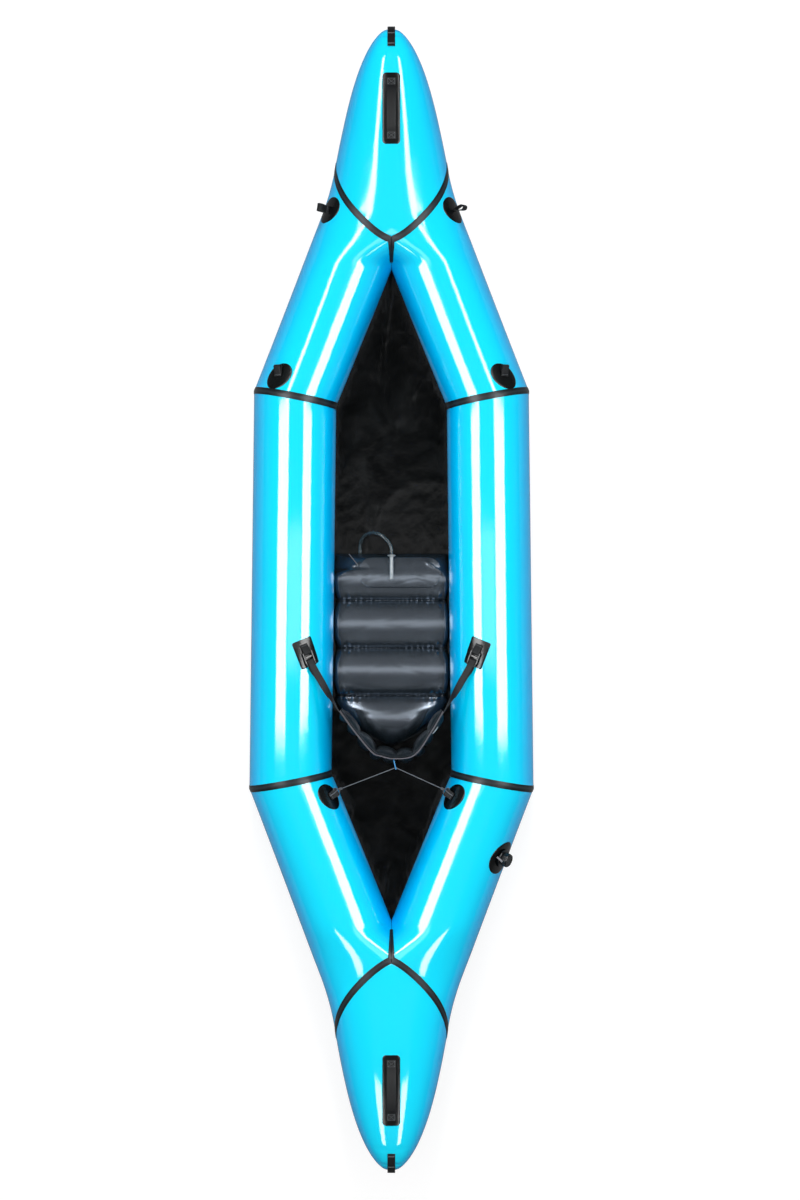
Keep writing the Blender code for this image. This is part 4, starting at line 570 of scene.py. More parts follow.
def banded(name, lay, count, spread=TAPE_SPREAD, rise=TAPE_RISE, thick=TAPE_THICK):
    """A closed band: lay(row share, spread, lift) gives its points, over and then under. If its
    ends are welded to a point the grid's order is lost, and its UVs are all 0."""
    share = np.linspace(0.0, 1.0, count)
    top = lay(share[:, None], spread[None, :], SKIN_GAP + thick * rise[None, :])
    bottom = lay(share[:, None], spread[None, ::-1], np.full((1, len(spread)), SKIN_GAP * 0.5))
    grid = np.concatenate([top, bottom[:, 1:-1]], axis=1)
    piece = surface(name, grid, close_columns=True, caps=True, weld=1e-6)
    whole = len(piece.data.vertices) == grid.shape[0] * grid.shape[1]
    across = np.concatenate([spread, spread[::-1][1:-1]]) * 0.5 + 0.5
    lay_uv(piece, np.arange(count) / (count - 1) * whole, across * whole)
    return piece


def mitre_tape(end, side, name, node):
    """A band round the mitre plane: half on the converging tube and half on the side tube, from
    the floor weld on the outer side over the top to the floor weld in the cockpit."""
    other = STERN if end is BOW else BOW

    def lay(share, spread, lift):
        """Its points: on this end's cloth past the mitre, along the side tube before it."""
        angle = share * (math.pi + TAPE_LOW_OUTER + TAPE_LOW_INNER) - TAPE_LOW_OUTER + 0.0 * spread
        wrapped = np.where(angle > math.pi, angle - 2.0 * math.pi, angle)
        lift = np.broadcast_to(lift, angle.shape)
        distance = np.broadcast_to(spread * TAPE_HALF, angle.shape)
        at = end.mitre_at(wrapped)
        on_end = end.skin(1, at + np.maximum(distance, 0.0), wrapped, lift)
        ring = end.point(at, wrapped)
        far = other.point(other.mitre_at(wrapped), wrapped) * np.array([1.0, -1.0, 1.0])
        normal = np.stack([np.cos(wrapped), 0.0 * wrapped, np.sin(wrapped)], -1)
        on_side = (ring - unit(far - ring) * np.minimum(distance, 0.0)[..., None]
                   + normal * lift[..., None]) * np.array([1.0, end.way, 1.0])
        return np.where((distance > 0.0)[..., None], on_end, on_side) * np.array([side, 1.0, 1.0])
    dress(banded(name, lay, 150), charcoal_tape, "boat", "seam_tape", node)


def across_seam(end, reach, angle, tangent, distance):
    """The reach and angle a distance to one side of a line on the cloth, worked out from the
    surface's own slopes: the step square to the line's tangent, in reach and angle."""
    along, round_it, normal = end.slopes(reach, angle)
    square = np.cross(normal, unit(tangent))
    e, f, g = (along ** 2).sum(-1), (along * round_it).sum(-1), (round_it ** 2).sum(-1)
    a, b = (square * along).sum(-1), (square * round_it).sum(-1)
    det = e * g - f * f
    return (reach + (a * g - b * f) / det * distance, angle + (b * e - a * f) / det * distance)


def one_side(end, side, reach, angle, lift):
    """A point of the cloth that is kept from passing the middle plane, on its side of the boat."""
    spot = end.skin(1, reach, angle, np.broadcast_to(lift, reach.shape))
    spot[..., 0] = np.maximum(spot[..., 0], 0.0)
    return spot * np.array([side, 1.0, 1.0])


def v_tape(end, side, name):
    """One side's half of the V's tape: from the fork on top round the outer side to the keel."""
    def lay(share, spread, lift):
        """Its points, stepped to either side of the V seam square to it."""
        turn = end.fork_angle * (1.0 - 2.0 * share) * 0.999 + 0.0 * spread
        near, far = turn + 1e-3, turn - 1e-3
        tangent = end.point(end.seam_at(far), far) - end.point(end.seam_at(near), near)
        distance = np.broadcast_to(spread * TAPE_HALF, turn.shape)
        reach, angle = across_seam(end, end.seam_at(turn), turn, tangent, distance)
        return one_side(end, side, reach, angle, lift)
    return banded(name, lay, 110)


def crease_tail(end, side, name):
    """A dark strip of the V tape's cloth down the crease between two tubes, half on each, standing
    in for the crease's shade: at each reach it runs from the middle plane to where the section
    stands half a tape's width from it."""
    def lay(share, spread, lift):
        """Its points, at angles read from how far out they are; it narrows to its end."""
        reach = end.fork + 0.004 - share * (end.fork - end.contact) * 0.84 + 0.0 * spread
        out = (0.0115 - 0.0062 * share) * (spread + 1.0) * 0.5
        return one_side(end, side, reach, end.angle_at(reach, out, -0.9995), lift)
    return banded(name, lay, 50)


for end_name, part, end in ENDS:
    for side_name, side in SIDES:
        mitre_tape(end, side, "tape_" + part + "_mitre_" + side_name,
                   part + "_" + side_name + "_mitre_tape")
    halves = [v_tape(end, side, "tape_" + end_name + "_v_" + side_name)
              for side_name, side in SIDES]
    # The crease strips: dark tape cloth laid down the crease as painted shade.
    halves += [crease_tail(end, side, "tape_" + end_name + "_crease_shade_" + side_name)
               for side_name, side in SIDES]
    for piece in halves:
        dress(piece, charcoal_tape, "boat", "seam_tape", end_name + "_nose_tape")

# The floor. One sheet of heavy black coated nylon welded under the tubes along their lowest
# lines and wrapped a little way up their outer sides. It lies slack, so it is full of soft
# creases, and its polyurethane face is glossy.
FLOOR_THICK = 0.0011
FLOOR_SHORT = 0.018


def creases(x, y, seed, wave_length, count, sharp=1.0):
    """Soft creases from 0 to 1: so many waves of about this length, each in a seeded direction and
    bent by a slower wave across it, are added up, and where the sum is near 0 a ridge stands."""
    rng = np.random.default_rng(seed)
    heading = rng.uniform(0.0, math.pi, count)
    phase = rng.uniform(0.0, 2.0 * math.pi, count)
    size = wave_length * rng.uniform(0.6, 1.6, count)
    total = np.zeros(np.broadcast(x, y).shape)
    for turn, start, length in zip(heading, phase, size):
        along = x * math.cos(turn) + y * math.sin(turn)
        across = y * math.cos(turn) - x * math.sin(turn)
        total = total + np.sin(along * 2.0 * math.pi / length + start
                               + 1.3 * np.sin(across * 4.1 / length))
    total = total / math.sqrt(count)
    return (1.0 - np.tanh(np.abs(total) * 1.4)) ** sharp


def black_floor():
    """Heavy black nylon under a glossy coat: soft blotches where the colour is a little paler, a
    painted haze of reflected light, and the coat a little rougher.
    """
    material, tree = finish_named("glossy_black_floor_nylon")
    place = add(tree, "TexCoord").outputs["Object"]
    # Blotches that make the colour paler, a painted haze of reflected light, and the coat rougher.
    painted_haze_and_polish = noise(tree, place, 7.0, 7.0, Roughness=0.62, Distortion=1.2)
    fine = noise(tree, place, 38.0, 5.0, Roughness=0.6, Distortion=0.6)
    grain = noise(tree, place, 650.0, 1.0)
    polish = add(tree, "MapRange", Value=painted_haze_and_polish, From_Min=0.35, From_Max=0.7, To_Min=0.16,
                 To_Max=0.26)
    return shaded(material, Base_Color=ramp(tree, painted_haze_and_polish, "#020405", "#0a0f11", 0.42, 0.80),
                  Roughness=polish.outputs[0], IOR=1.25,
                  Normal=bumps(tree, (fine, 0.22, 0.003), (grain, 0.15, 0.0004)))


def floor_edge(row, angle, lift, side):
    """A line along the underside of the tubes, row 0 to 3: stern end, side tube, bow end; it
    stops a little short of the V seams."""
    row = np.asarray(row, float)
    angle = np.broadcast_to(angle, row.shape) + 0.0
    lift = np.broadcast_to(lift, row.shape)
    spots = []
    for end, share in ((STERN, 1.0 - row), (BOW, row - 2.0)):
        share = np.clip(share, 0.0, 1.0)
        start = end.mitre_at(angle)
        stop = end.rim_at(angle) - FLOOR_SHORT
        spots.append(end.skin(side, start + (stop - start) * share, angle, lift))
    middle = side_tube_point(side, np.clip(row - 1.0, 0.0, 1.0), angle, lift)
    row = row[..., None]
    return np.where(row < 1.0, spots[0], np.where(row > 2.0, spots[1], middle))


def floor_sheet():
    """Rows across the boat: up one tube's outer side, flat between the two lowest lines with
    creases raised on it, and up the other tube's outer side."""
    row = np.concatenate([np.linspace(0, 1, 60)[:-1], np.linspace(1, 2, 120)[:-1],
                          np.linspace(2, 3, 70)])
    lean = np.linspace(-0.25 * math.pi, -0.5 * math.pi, 9)
    layers = []
    for lift in (SKIN_GAP, SKIN_GAP + FLOOR_THICK):
        wings = {side: floor_edge(np.broadcast_to(row[:, None], (len(row), 9)), lean[None, :],
                                  lift, side) for side in (-1, 1)}
        left, right = wings[-1][:, -1], wings[1][:, -1]
        share = np.linspace(0.0, 1.0, 90)[1:-1]
        flat = left[:, None] + (right - left)[:, None] * share[None, :, None]
        x, y = flat[..., 0], flat[..., 1]
        inside = np.clip(np.minimum(share, 1.0 - share) * 9.0, 0.0, 1.0)[None, :] ** 1.5
        flat[..., 2] += inside * (0.0020 * creases(x, y * 0.55, 5, 0.34, 5, 2.0)
                                  + 0.0008 * creases(x, y, 11, 0.12, 6, 1.6)
                                  + 0.0006 * creases(x * 1.5, y, 23, 0.06, 7, 1.3))
        layers.append(np.concatenate([wings[-1], flat, wings[1][:, ::-1]], axis=1))
    grid = np.concatenate([layers[0], layers[1][:, ::-1]], axis=1)
    piece = surface("floor_sheet", grid, close_columns=True, caps=True)
    dress(piece, black_floor(), "boat", "floor_fabric", "floor_middle", "floor_front",
          "floor_rear", "floor_edge_left", "floor_edge_right")


floor_sheet()

# The grab handles. On each nose a long patch of charcoal coated nylon is welded to the crown,
# and a strap of black webbing is sewn down on it at both ends and arched between.
WEB_THICK = 0.0016
WEB_HALF = 0.0125
PATCH_THICK = 0.0012
RIBS_PER_M = 420.0


def webbing(name, colour):
    """Woven nylon webbing: cross ribs a little over 2 mm apart, coarser than life so that they
    show, faint lines along it, and a dull sheen; its colour is painted darker in the grooves and
    paler on the crests, as painted shade of the weave. U runs along it in metres and V across it
    from 0 to 1."""
    material, tree = finish_named(name)
    parts = add(tree, "SeparateXYZ", Vector=add(tree, "UVMap").outputs[0]).outputs
    rib = maths(tree, "SINE", maths(tree, "MULTIPLY", parts["X"], RIBS_PER_M * 2.0 * math.pi))
    warp = maths(tree, "SINE", maths(tree, "MULTIPLY", parts["Y"], 14.0 * math.pi))
    knit = maths(tree, "MULTIPLY_ADD", rib, warp, rib)
    # Painted shade: the colour follows the weave's height, dark in the grooves and pale on the ribs.
    height = add(tree, "MapRange", Value=knit, From_Min=-2.0, From_Max=2.0).outputs[0]
    return shaded(material, Base_Color=ramp(tree, height, *colour), Roughness=0.48, IOR=1.33,
                  Normal=bumps(tree, (height, 0.6, 0.0005)), Sheen_Weight=0.06,
                  Sheen_Roughness=0.4)


black_webbing = webbing("black_nylon_webbing", ("#080a0c", "#161a1e"))


def patch_nylon():
    """Charcoal coated nylon patch: a smooth, fairly glossy face with a faint welded weave."""
    material, tree = finish_named("charcoal_welded_patch")
    place = add(tree, "TexCoord").outputs["Object"]
    wear = noise(tree, place, 45.0, 4.0, Roughness=0.6)
    weave = noise(tree, place, 800.0, 1.0)
    return shaded(material, Base_Color=ramp(tree, wear, "#050708", "#0c1012", 0.35, 0.75),
                  Roughness=0.20, IOR=1.45,
                  Normal=bumps(tree, (wear, 0.3, 0.002), (weave, 0.15, 0.0003)))


welded_patch = patch_nylon()
PATCH_SPREAD = np.array([-1, -0.985, -0.95, -0.8, -0.6, -0.4, -0.2, 0, 0.2, 0.4, 0.6, 0.8, 0.95,
                         0.985, 1.0])
PATCH_RISE = np.array([0.05, 0.6, 0.9, 1, 1, 1, 1, 1, 1, 1, 1, 1, 0.9, 0.6, 0.05])


def rounded_half(along, half_length, half_width, corner):
    """Half the width of a round-cornered rectangle at a distance along it from its middle."""
    past = np.clip((np.abs(along) - (half_length - corner)) / corner, 0.0, 1.0)
    return half_width - corner * (1.0 - np.sqrt(np.clip(1.0 - past * past, 0.0, None)))


def patch(name, node, count, half_length, half_width, corner, thinned, at):
    """A round-cornered patch with rounded edges, thinned by the weld over a share of its length
    at both ends; at(run, out, lift) gives a point from the distances along it and across it."""
    def lay(share, spread, lift):
        """Its points: rows closer together at the ends, each as wide as the patch is there."""
        turn = -np.cos(share * math.pi)
        run = half_length * turn + 0.0 * spread
        wide = rounded_half(half_length * turn, half_length, half_width, corner)
        edge = np.clip((1.0 - np.abs(turn)) / thinned, 0.0, 1.0)
        return at(*np.broadcast_arrays(run, spread * wide, SKIN_GAP + (lift - SKIN_GAP) * edge))
    piece = banded(name, lay, count, PATCH_SPREAD, PATCH_RISE, PATCH_THICK)
    dress(piece, welded_patch, "boat", "seam_tape", node)


def on_nose(end, out, reach, lift):
    """The point of a nose straight above a place in plan, raised square to the cloth by lift."""
    return end.skin(1, reach, end.angle_at(reach, out), lift)


STRAP_ROUND = np.array([[-1.0, 0.0], [-0.985, 0.62], [-0.93, 1.0], [-0.5, 1.06], [0.0, 1.1],
                        [0.5, 1.06], [0.93, 1.0], [0.985, 0.62], [1.0, 0.0], [0.985, -0.62],
                        [0.93, -1.0], [0.5, -1.0], [0.0, -1.0], [-0.5, -1.0], [-0.93, -1.0],
                        [-0.985, -0.62]])


def headings(path, closed=False):
    """The direction of a path at each of its points: from the point before to the one after."""
    if closed:
        return unit(np.roll(path, -1, axis=0) - np.roll(path, 1, axis=0))
    return unit(np.gradient(path, axis=0))


def lengths_to(path):
    """The length along a path up to each of its points."""
    return np.concatenate([[0.0], np.cumsum(np.linalg.norm(np.diff(path, axis=0), axis=1))])


def read_at(values, run, at):
    """The values given at lengths run along a path, read evenly between them at other lengths."""
    return np.stack([np.interp(at, run, values[:, k]) for k in range(values.shape[1])], -1)


def strap(name, path, wide, half_width, thick=WEB_THICK, closed=False):
    """Webbing carried along a path: a flat section with soft edges, turned to lie square to the
    path and along a width direction, one for all or one for each point."""
    path, wide = np.asarray(path, float), np.asarray(wide, float)
    ahead = headings(path, closed)
    wide = unit(wide - ahead * (wide * ahead).sum(1, keepdims=True))
    face = np.cross(wide, ahead)
    grid = (path[:, None] + wide[:, None] * STRAP_ROUND[None, :, :1] * half_width
            + face[:, None] * STRAP_ROUND[None, :, 1:] * (thick * 0.5))
    piece = surface(name, grid, close_rows=closed, close_columns=True, caps=not closed, weld=1e-7)
    lay_uv(piece, lengths_to(path), STRAP_ROUND[:, 0] * 0.5 + 0.5)
    return piece


def thread():
    """Bonded polyester thread, dark grey with a slight shine, as it lies in a seam."""
    material, tree = finish_named("grey_bonded_thread")
    ply = noise(tree, add(tree, "TexCoord").outputs["Object"], 1800.0, 1.0)
    return shaded(material, Base_Color=ramp(tree, ply, "#3a4146", "#7c858b"), Roughness=0.5)


grey_thread = thread()


def bar_faces(rings, sides, count):
    """The faces of so many closed bars, whose points follow each other ring by ring."""
    base = np.arange(rings * sides).reshape(rings, sides)
    ring = np.concatenate([base, base[:, :1]], 1)
    quads = np.stack([ring[:-1, :-1], ring[:-1, 1:], ring[1:, 1:], ring[1:, :-1]], -1)
    one = quads.reshape(-1, 4).tolist() + [base[0][::-1].tolist(), base[-1].tolist()]
    return [tuple(v + base.size * k for v in face) for k in range(count) for face in one]


def stitches(name, path, normal, body, pitch=0.0042, length=0.0030, radius=0.00042):
    """A row of stitches: short round bars with pointed ends, laid end to end along a path."""
    path = np.asarray(path, float)
    normal = np.broadcast_to(np.asarray(normal, float), path.shape)
    run = lengths_to(path)
    count = max(int(run[-1] / pitch), 1)
    goal = (np.arange(count) + 0.5) * run[-1] / count
    middle, up = read_at(path, run, goal), read_at(normal, run, goal)
    ahead = unit(read_at(path, run, goal + 1e-4) - read_at(path, run, goal - 1e-4))
    across = unit(np.cross(ahead, up))
    along = np.array([-0.5, -0.42, 0.42, 0.5]) * length
    fat = (np.array([0.25, 1.0, 1.0, 0.25]) * radius)[:, None]
    turn = around(6)
    grid = (middle[:, None, None] + ahead[:, None, None] * along[None, :, None, None]
            + across[:, None, None] * (fat * np.cos(turn))[None, :, :, None]
            + up[:, None, None] * (fat * np.sin(turn))[None, :, :, None])
    piece = shape(name, grid.reshape(-1, 3), bar_faces(len(along), len(turn), count), 1e-8)
    dress(piece, grey_thread, body, "webbing")


def tack(name, points, up, body="boat"):
    """One row of a bar tack: short, fat stitches close together."""
    stitches(name, points, up, body, pitch=0.0021, length=0.0020, radius=0.0005)


def line_along(points, count):
    """Points read evenly along straight runs through the given ones."""
    points = np.asarray(points, float)
    run = lengths_to(points)
    return read_at(points, run, np.linspace(0.0, run[-1], count))


def smooth_path(points, count, closed=False):
    """A Catmull-Rom curve through the points, read at even steps of its own length."""
    points = np.asarray(points, float)
    if closed:
        padded = np.concatenate([points[-1:], points, points[:2]])
    else:
        padded = np.concatenate([points[:1] * 2 - points[1:2], points,
                                 points[-1:] * 2 - points[-2:-1]])
    share = np.linspace(0.0, 1.0, 24, endpoint=False)[None, :, None]
    a, b, c, d = (padded[k:len(padded) - 3 + k][:, None] for k in range(4))
    fine = 0.5 * (2 * b + (c - a) * share + (2 * a - 5 * b + 4 * c - d) * share ** 2
                  + (3 * b - a - 3 * c + d) * share ** 3)
    fine = np.concatenate([fine.reshape(-1, 3), points[:1] if closed else points[-1:]])
    return line_along(fine, count + 1)[:-1] if closed else line_along(fine, count)


SIDEWAYS = np.array([1.0, 0.0, 0.0])
UPWARDS = np.array([0.0, 0.0, 1.0])


def grab_handle(end, name, node, middle):
    """The strap over the patch: flat where it is sewn, an even arch between, 14 mm high, with a
    box of stitches and its diagonals at each foot."""
    half_length, half_arch, arch_height = 0.098, 0.072, 0.014
    run = np.linspace(-half_length, half_length, 80)
    arch = arch_height * np.clip(1.0 - (run / half_arch) ** 2, 0.0, None) ** 0.7
    zero = np.zeros_like(run)
    seat = PATCH_THICK + SKIN_GAP * 2.5
    path = on_nose(end, zero, middle + run, zero + seat + WEB_THICK * 0.5)
    path[:, 2] += arch - 0.0001
    dress(strap(name, path, SIDEWAYS, 0.015), black_webbing, "boat", "webbing", node)
    for label, side in (("near", -1), ("far", 1)):
        box = [(-1, 0.0), (1, 0.0), (1, 1.0), (-1, 1.0), (-1, 0.0), (1, 1.0), (1, 0.0), (-1, 1.0)]
        spots = line_along([(c * 0.0115, side * (0.076 + 0.018 * s), 0.0) for c, s in box], 240)
        seam = on_nose(end, np.zeros(240), middle + spots[:, 1],
                       np.full(240, seat + WEB_THICK * 1.06))
        seam[:, 0] = spots[:, 0]
        stitches(name + "_stitches_" + label, seam, UPWARDS, "boat")


for end_name, part, end in ENDS:
    middle = 1.596 if end is BOW else 1.590
    patch(end_name + "_handle_base", end_name + "_handle_patch", 90, half_length=0.113,
          half_width=0.029, corner=0.012, thinned=0.004,
          at=lambda run, out, lift: on_nose(end, out, middle + run, lift))
    grab_handle(end, end_name + "_grab_handle", end_name + "_handle", middle)

# The tip loops. A strap of webbing is sewn over each tip, top and underside, and stands a few
# millimetres off its point as a towing eye, with two bar tacks across it.
TIP_STAND = 0.0095


def tip_loop(end, name, node):
    """Down the crown to the tip, round it on a small arc, and back along the keel."""
    stand = SKIN_GAP * 3.0 + 0.00075
    share = np.linspace(0.0, 1.0, 30, endpoint=False)
    runs = []
    for turn in (1.0, -1.0):
        reach = end.tip - 0.062 * (1.0 - np.sin(math.pi * 0.5 * share))
        spot = end.point(reach, np.full(share.shape, turn * math.pi * 0.5))
        lift = stand + (TIP_STAND - stand) * share ** 3
        push = np.stack([0 * share, share ** 2, turn * np.sqrt(1.0 - share ** 4)], -1)
        run = spot * np.array([0.0, 1.0, 1.0]) + push * lift[:, None]
        runs.append(run if turn > 0 else run[::-1])
    nose_point = np.array([[0.0, end.tip + TIP_STAND, float(end.centre_up(end.tip))]])
    path = smooth_path(np.concatenate([runs[0], nose_point, runs[1]])[::2], 110)
    path[:, 1] *= end.way
    dress(strap(name, path, SIDEWAYS, WEB_HALF), black_webbing, "boat", "webbing", node)
    across = np.linspace(-0.0105, 0.0105, 20)[:, None] * SIDEWAYS
    for label, back in (("inner", 0.056), ("outer", 0.019)):
        k = int(np.argmin(np.abs(np.abs(path[:55, 1]) - (end.tip - back + 0.003))))
        ahead = unit(path[k + 1] - path[k])
        up = np.array([0.0, -ahead[2], ahead[1]]) * (1.0 if ahead[1] > 0 else -1.0)
        for row in range(3):
            line = path[k] + ahead * (row - 1) * 0.0013 + across + up * WEB_THICK * 0.55
            tack(name + "_tack_" + label + "_" + str(row), line, up)


for end_name, part, end in ENDS:
    tip_loop(end, end_name + "_towing_loop", end_name + "_tip_loop")

# The discs and their loops. Six round patches of charcoal coated nylon are welded to the tubes,
# each with a loop of 25 mm webbing sewn on: two stand up at the bow's shoulders, two lie folded
# beside the front mitres, and two face the cockpit behind the rear ones.
DISC_RADIUS = 0.045


def spot_on(end, side, reach, angle, lift, ahead):
    """A place on the cloth: its point, a direction along it, the one across, and its normal."""
    reach, angle = np.array(float(reach)), np.array(float(angle))
    turn = np.array([side, end.way, 1.0])
    normal = end.slopes(reach, angle)[2] * turn
    origin = end.point(reach, angle) * turn + normal * lift
    along = np.asarray(ahead, float)
    along = unit(along - normal * (along @ normal))
    return origin, along, np.cross(along, normal), normal


def disc(end, side, name, node, reach, angle, radius=DISC_RADIUS, hole=0.0):
    """Rings about a centre on the cloth, turned into steps of reach and angle by the surface's
    slopes, so that the disc follows the tube; a thin rolled edge, closed underneath."""
    turn = around(64)
    share = np.concatenate([np.linspace(hole / radius, 0.9, 14), [0.95, 0.985, 1.0]])[:, None]
    rise = np.concatenate([np.full(14, 1.0), [0.95, 0.65, 0.05]])[:, None]
    along, round_it, _ = end.slopes(np.array(float(reach)), np.array(float(angle)))
    step_reach = radius * share * np.sin(turn) / np.linalg.norm(along)
    step_angle = radius * share * np.cos(turn) / np.linalg.norm(round_it)
    rings = [end.skin(side, reach + step_reach, angle + step_angle,
                      np.broadcast_to(lift, step_reach.shape))
             for lift in (SKIN_GAP + PATCH_THICK * rise, SKIN_GAP * 0.5)]
    piece = surface(name, np.concatenate([rings[0], rings[1][::-1]]), close_rows=True,
                    close_columns=True, weld=1e-6)
    dress(piece, welded_patch, "boat", "seam_tape", node)


def sewn_loop(name, node, place, outline):
    """Webbing closed on itself round an outline of distances along its place and up from it."""
    origin, along, across, normal = place
    path = smooth_path(origin + outline[:, :1] * along + outline[:, 1:] * normal, 90, closed=True)
    dress(strap(name, path, across, WEB_HALF, closed=True), black_webbing, "boat", "webbing", node)


def folded_loop(name, node, place, length, height, rise):
    """Webbing folded over on itself: flat under, round at its open end, sewn at its foot."""
    origin, along, across, normal = place
    nose = height * 0.5
    turn = np.linspace(-math.pi * 0.5, math.pi * 0.5, 9)
    base = rise + WEB_THICK * 0.5
    sewn_loop(name, node, place, np.concatenate([
        np.stack([length - nose + nose * np.cos(turn), base + nose + nose * np.sin(turn)], 1),
        [[length * 0.45, base + height * 0.62], [length * 0.14, base + WEB_THICK * 1.9],
         [length * 0.03, base + WEB_THICK * 1.35], [-WEB_THICK * 0.7, base + WEB_THICK * 0.7],
         [length * 0.02, base + WEB_THICK * 0.04], [length * 0.3, base]]]))
    for row in range(2):
        at = origin + along * (length * 0.08 + 0.0035 * row) + normal * (base + WEB_THICK * 2.35)
        line = at + np.linspace(-0.0105, 0.0105, 24)[:, None] * across
        tack(name + "_tack_" + str(row), line, normal)


def standing_loop(name, node, place, length, spread, rise):
    """Webbing doubled into a leaf: its two legs sewn together at the foot, open at the tip."""
    origin, along, across, normal = place
    shares = np.array([(0.0, 0.06), (0.16, 0.10), (0.34, 0.24), (0.62, 0.46), (0.82, 0.50),
                       (0.94, 0.36), (1.0, 0.0)])
    half = np.stack([shares[:, 1] * spread, rise + shares[:, 0] * length], 1)
    sewn_loop(name, node, place, np.concatenate([half, (half * np.array([-1.0, 1.0]))[-2::-1]]))
    foot = origin + along * (spread * 0.10 + WEB_THICK * 0.62)
    for row in range(2):
        at = foot + normal * (rise + length * (0.17 + 0.05 * row))
        line = at + np.linspace(-0.0115, 0.0115, 40)[:, None] * across
        tack(name + "_tack_" + str(row), line, along)


rear_hooks = {}
for side_name, side in SIDES:
    shoulder = (BOW.tip - 0.573, math.radians(25.0))
    reach = BOW.mitre + 0.066
    side_spot = (reach, BOW.angle_at(reach, BOW.mitre_out + 0.0505))
    reach = STERN.mitre + 0.048
    rear_spot = (reach, STERN.angle_at(reach, STERN.mitre_out - 0.1325))
    disc(BOW, side, "shoulder_patch_" + side_name, "shoulder_disc_" + side_name, *shoulder)
    place = spot_on(BOW, side, *shoulder, SKIN_GAP + PATCH_THICK, (0.0, 1.0, 0.0))
    if side < 0:
        place = (place[0], place[2], -place[1], place[3])
    standing_loop("shoulder_webbing_loop_" + side_name, "shoulder_loop_" + side_name, place,
                  length=0.044, spread=0.016, rise=0.0006)
    disc(BOW, side, "side_patch_" + side_name, "side_disc_" + side_name, *side_spot)
    place = spot_on(BOW, side, *side_spot, SKIN_GAP + 0.0014, (0.0, 1.0, 0.0))
    folded_loop("side_webbing_loop_" + side_name, "side_loop_" + side_name, place, length=0.036,
                height=0.013, rise=0.0012)
    disc(STERN, side, "rear_patch_" + side_name, "rear_disc_" + side_name, *rear_spot)
    place = spot_on(STERN, side, *rear_spot, SKIN_GAP + 0.0014, (-side * 0.87, 0.50, 0.0))
    folded_loop("rear_webbing_loop_" + side_name, "rear_loop_" + side_name, place, length=0.033,
                height=0.013, rise=0.0012)
    rear_hooks[side] = place

# The seat. An inflated cushion of charcoal coated nylon: four cells between cross welds, the
# rear one a half round. Cloth gathers into short folds at each weld and at the side seams.
SEAT_WELDS = np.array([0.158, 0.0, -0.160, -0.320, -0.490])
SEAT_HALF = 0.198
SEAT_PULL = 0.009
SEAT_BASE = 0.0015
SEAT_RIM = SEAT_BASE + 0.020
SEAT_END_HEIGHT = 0.026
SEAT_WELD_HEIGHT = 0.050
SEAT_CROWN = 0.088


def cushion_nylon(name, dark, pale, rough, index):
    """Coated nylon with a satin face: fine weave, faint mottling, soft wide gloss, as strong as
    its index makes it."""
    material, tree = finish_named(name)
    place = add(tree, "TexCoord").outputs["Object"]
    mottle = noise(tree, place, 14.0, 5.0, Roughness=0.6)
    crumple = noise(tree, place, 46.0, 3.0, Roughness=0.5, Distortion=0.4)
    weave = noise(tree, place, 900.0, 1.0)
    return shaded(material, Base_Color=ramp(tree, mottle, dark, pale, 0.35, 0.70), Roughness=rough,
                  IOR=index, Specular_Tint=linear("#e0eeff"),
                  Normal=bumps(tree, (crumple, 0.10, 0.0010), (weave, 0.15, 0.0003)))


cushion_cloth = cushion_nylon("charcoal_cushion_nylon", "#141b20", "#1c242a", rough=0.23,
                              index=2.4)
backrest_cloth = cushion_nylon("black_backrest_nylon", "#13181b", "#20262a", rough=0.34,
                               index=1.30)


def seat_cell(y):
    """The cell that a place along the seat lies in, 0 in front, and how far back in it it is."""
    cell = np.clip(np.searchsorted(-SEAT_WELDS, -y, side="right") - 1, 0, 3)
    return cell, (SEAT_WELDS[cell] - y) / (SEAT_WELDS[cell] - SEAT_WELDS[np.minimum(cell + 1, 4)])


def seat_width(y):
    """Half the seat's width: drawn in at the welds' ends, and the half round behind the last."""
    plain = SEAT_HALF - SEAT_PULL * np.abs(np.cos(math.pi * seat_cell(y)[1])) ** 5
    rear = np.clip((SEAT_WELDS[3] - y) / (SEAT_WELDS[3] - SEAT_WELDS[4]), 0.0, 1.0)
    behind = (SEAT_HALF * np.clip(1.0 - rear ** 1.6, 0.0, None) ** 0.75
              - SEAT_PULL * np.clip(1.0 - rear / 0.1, 0.0, 1.0))
    return np.where(y < SEAT_WELDS[3], behind, plain)


def seat_rise(y):
    """The crown of a cell at a place along it: a half ellipse between its two welds."""
    cell, share = seat_cell(y)
    bow = np.sqrt(np.clip(1.0 - (2.0 * share - 1.0) ** 2, 0.0, None))
    at_end = ((cell == 0) & (share < 0.5)) | ((cell == 3) & (share > 0.5))
    edge = np.where(at_end, SEAT_END_HEIGHT, SEAT_WELD_HEIGHT)
    return edge + (SEAT_CROWN - edge) * bow


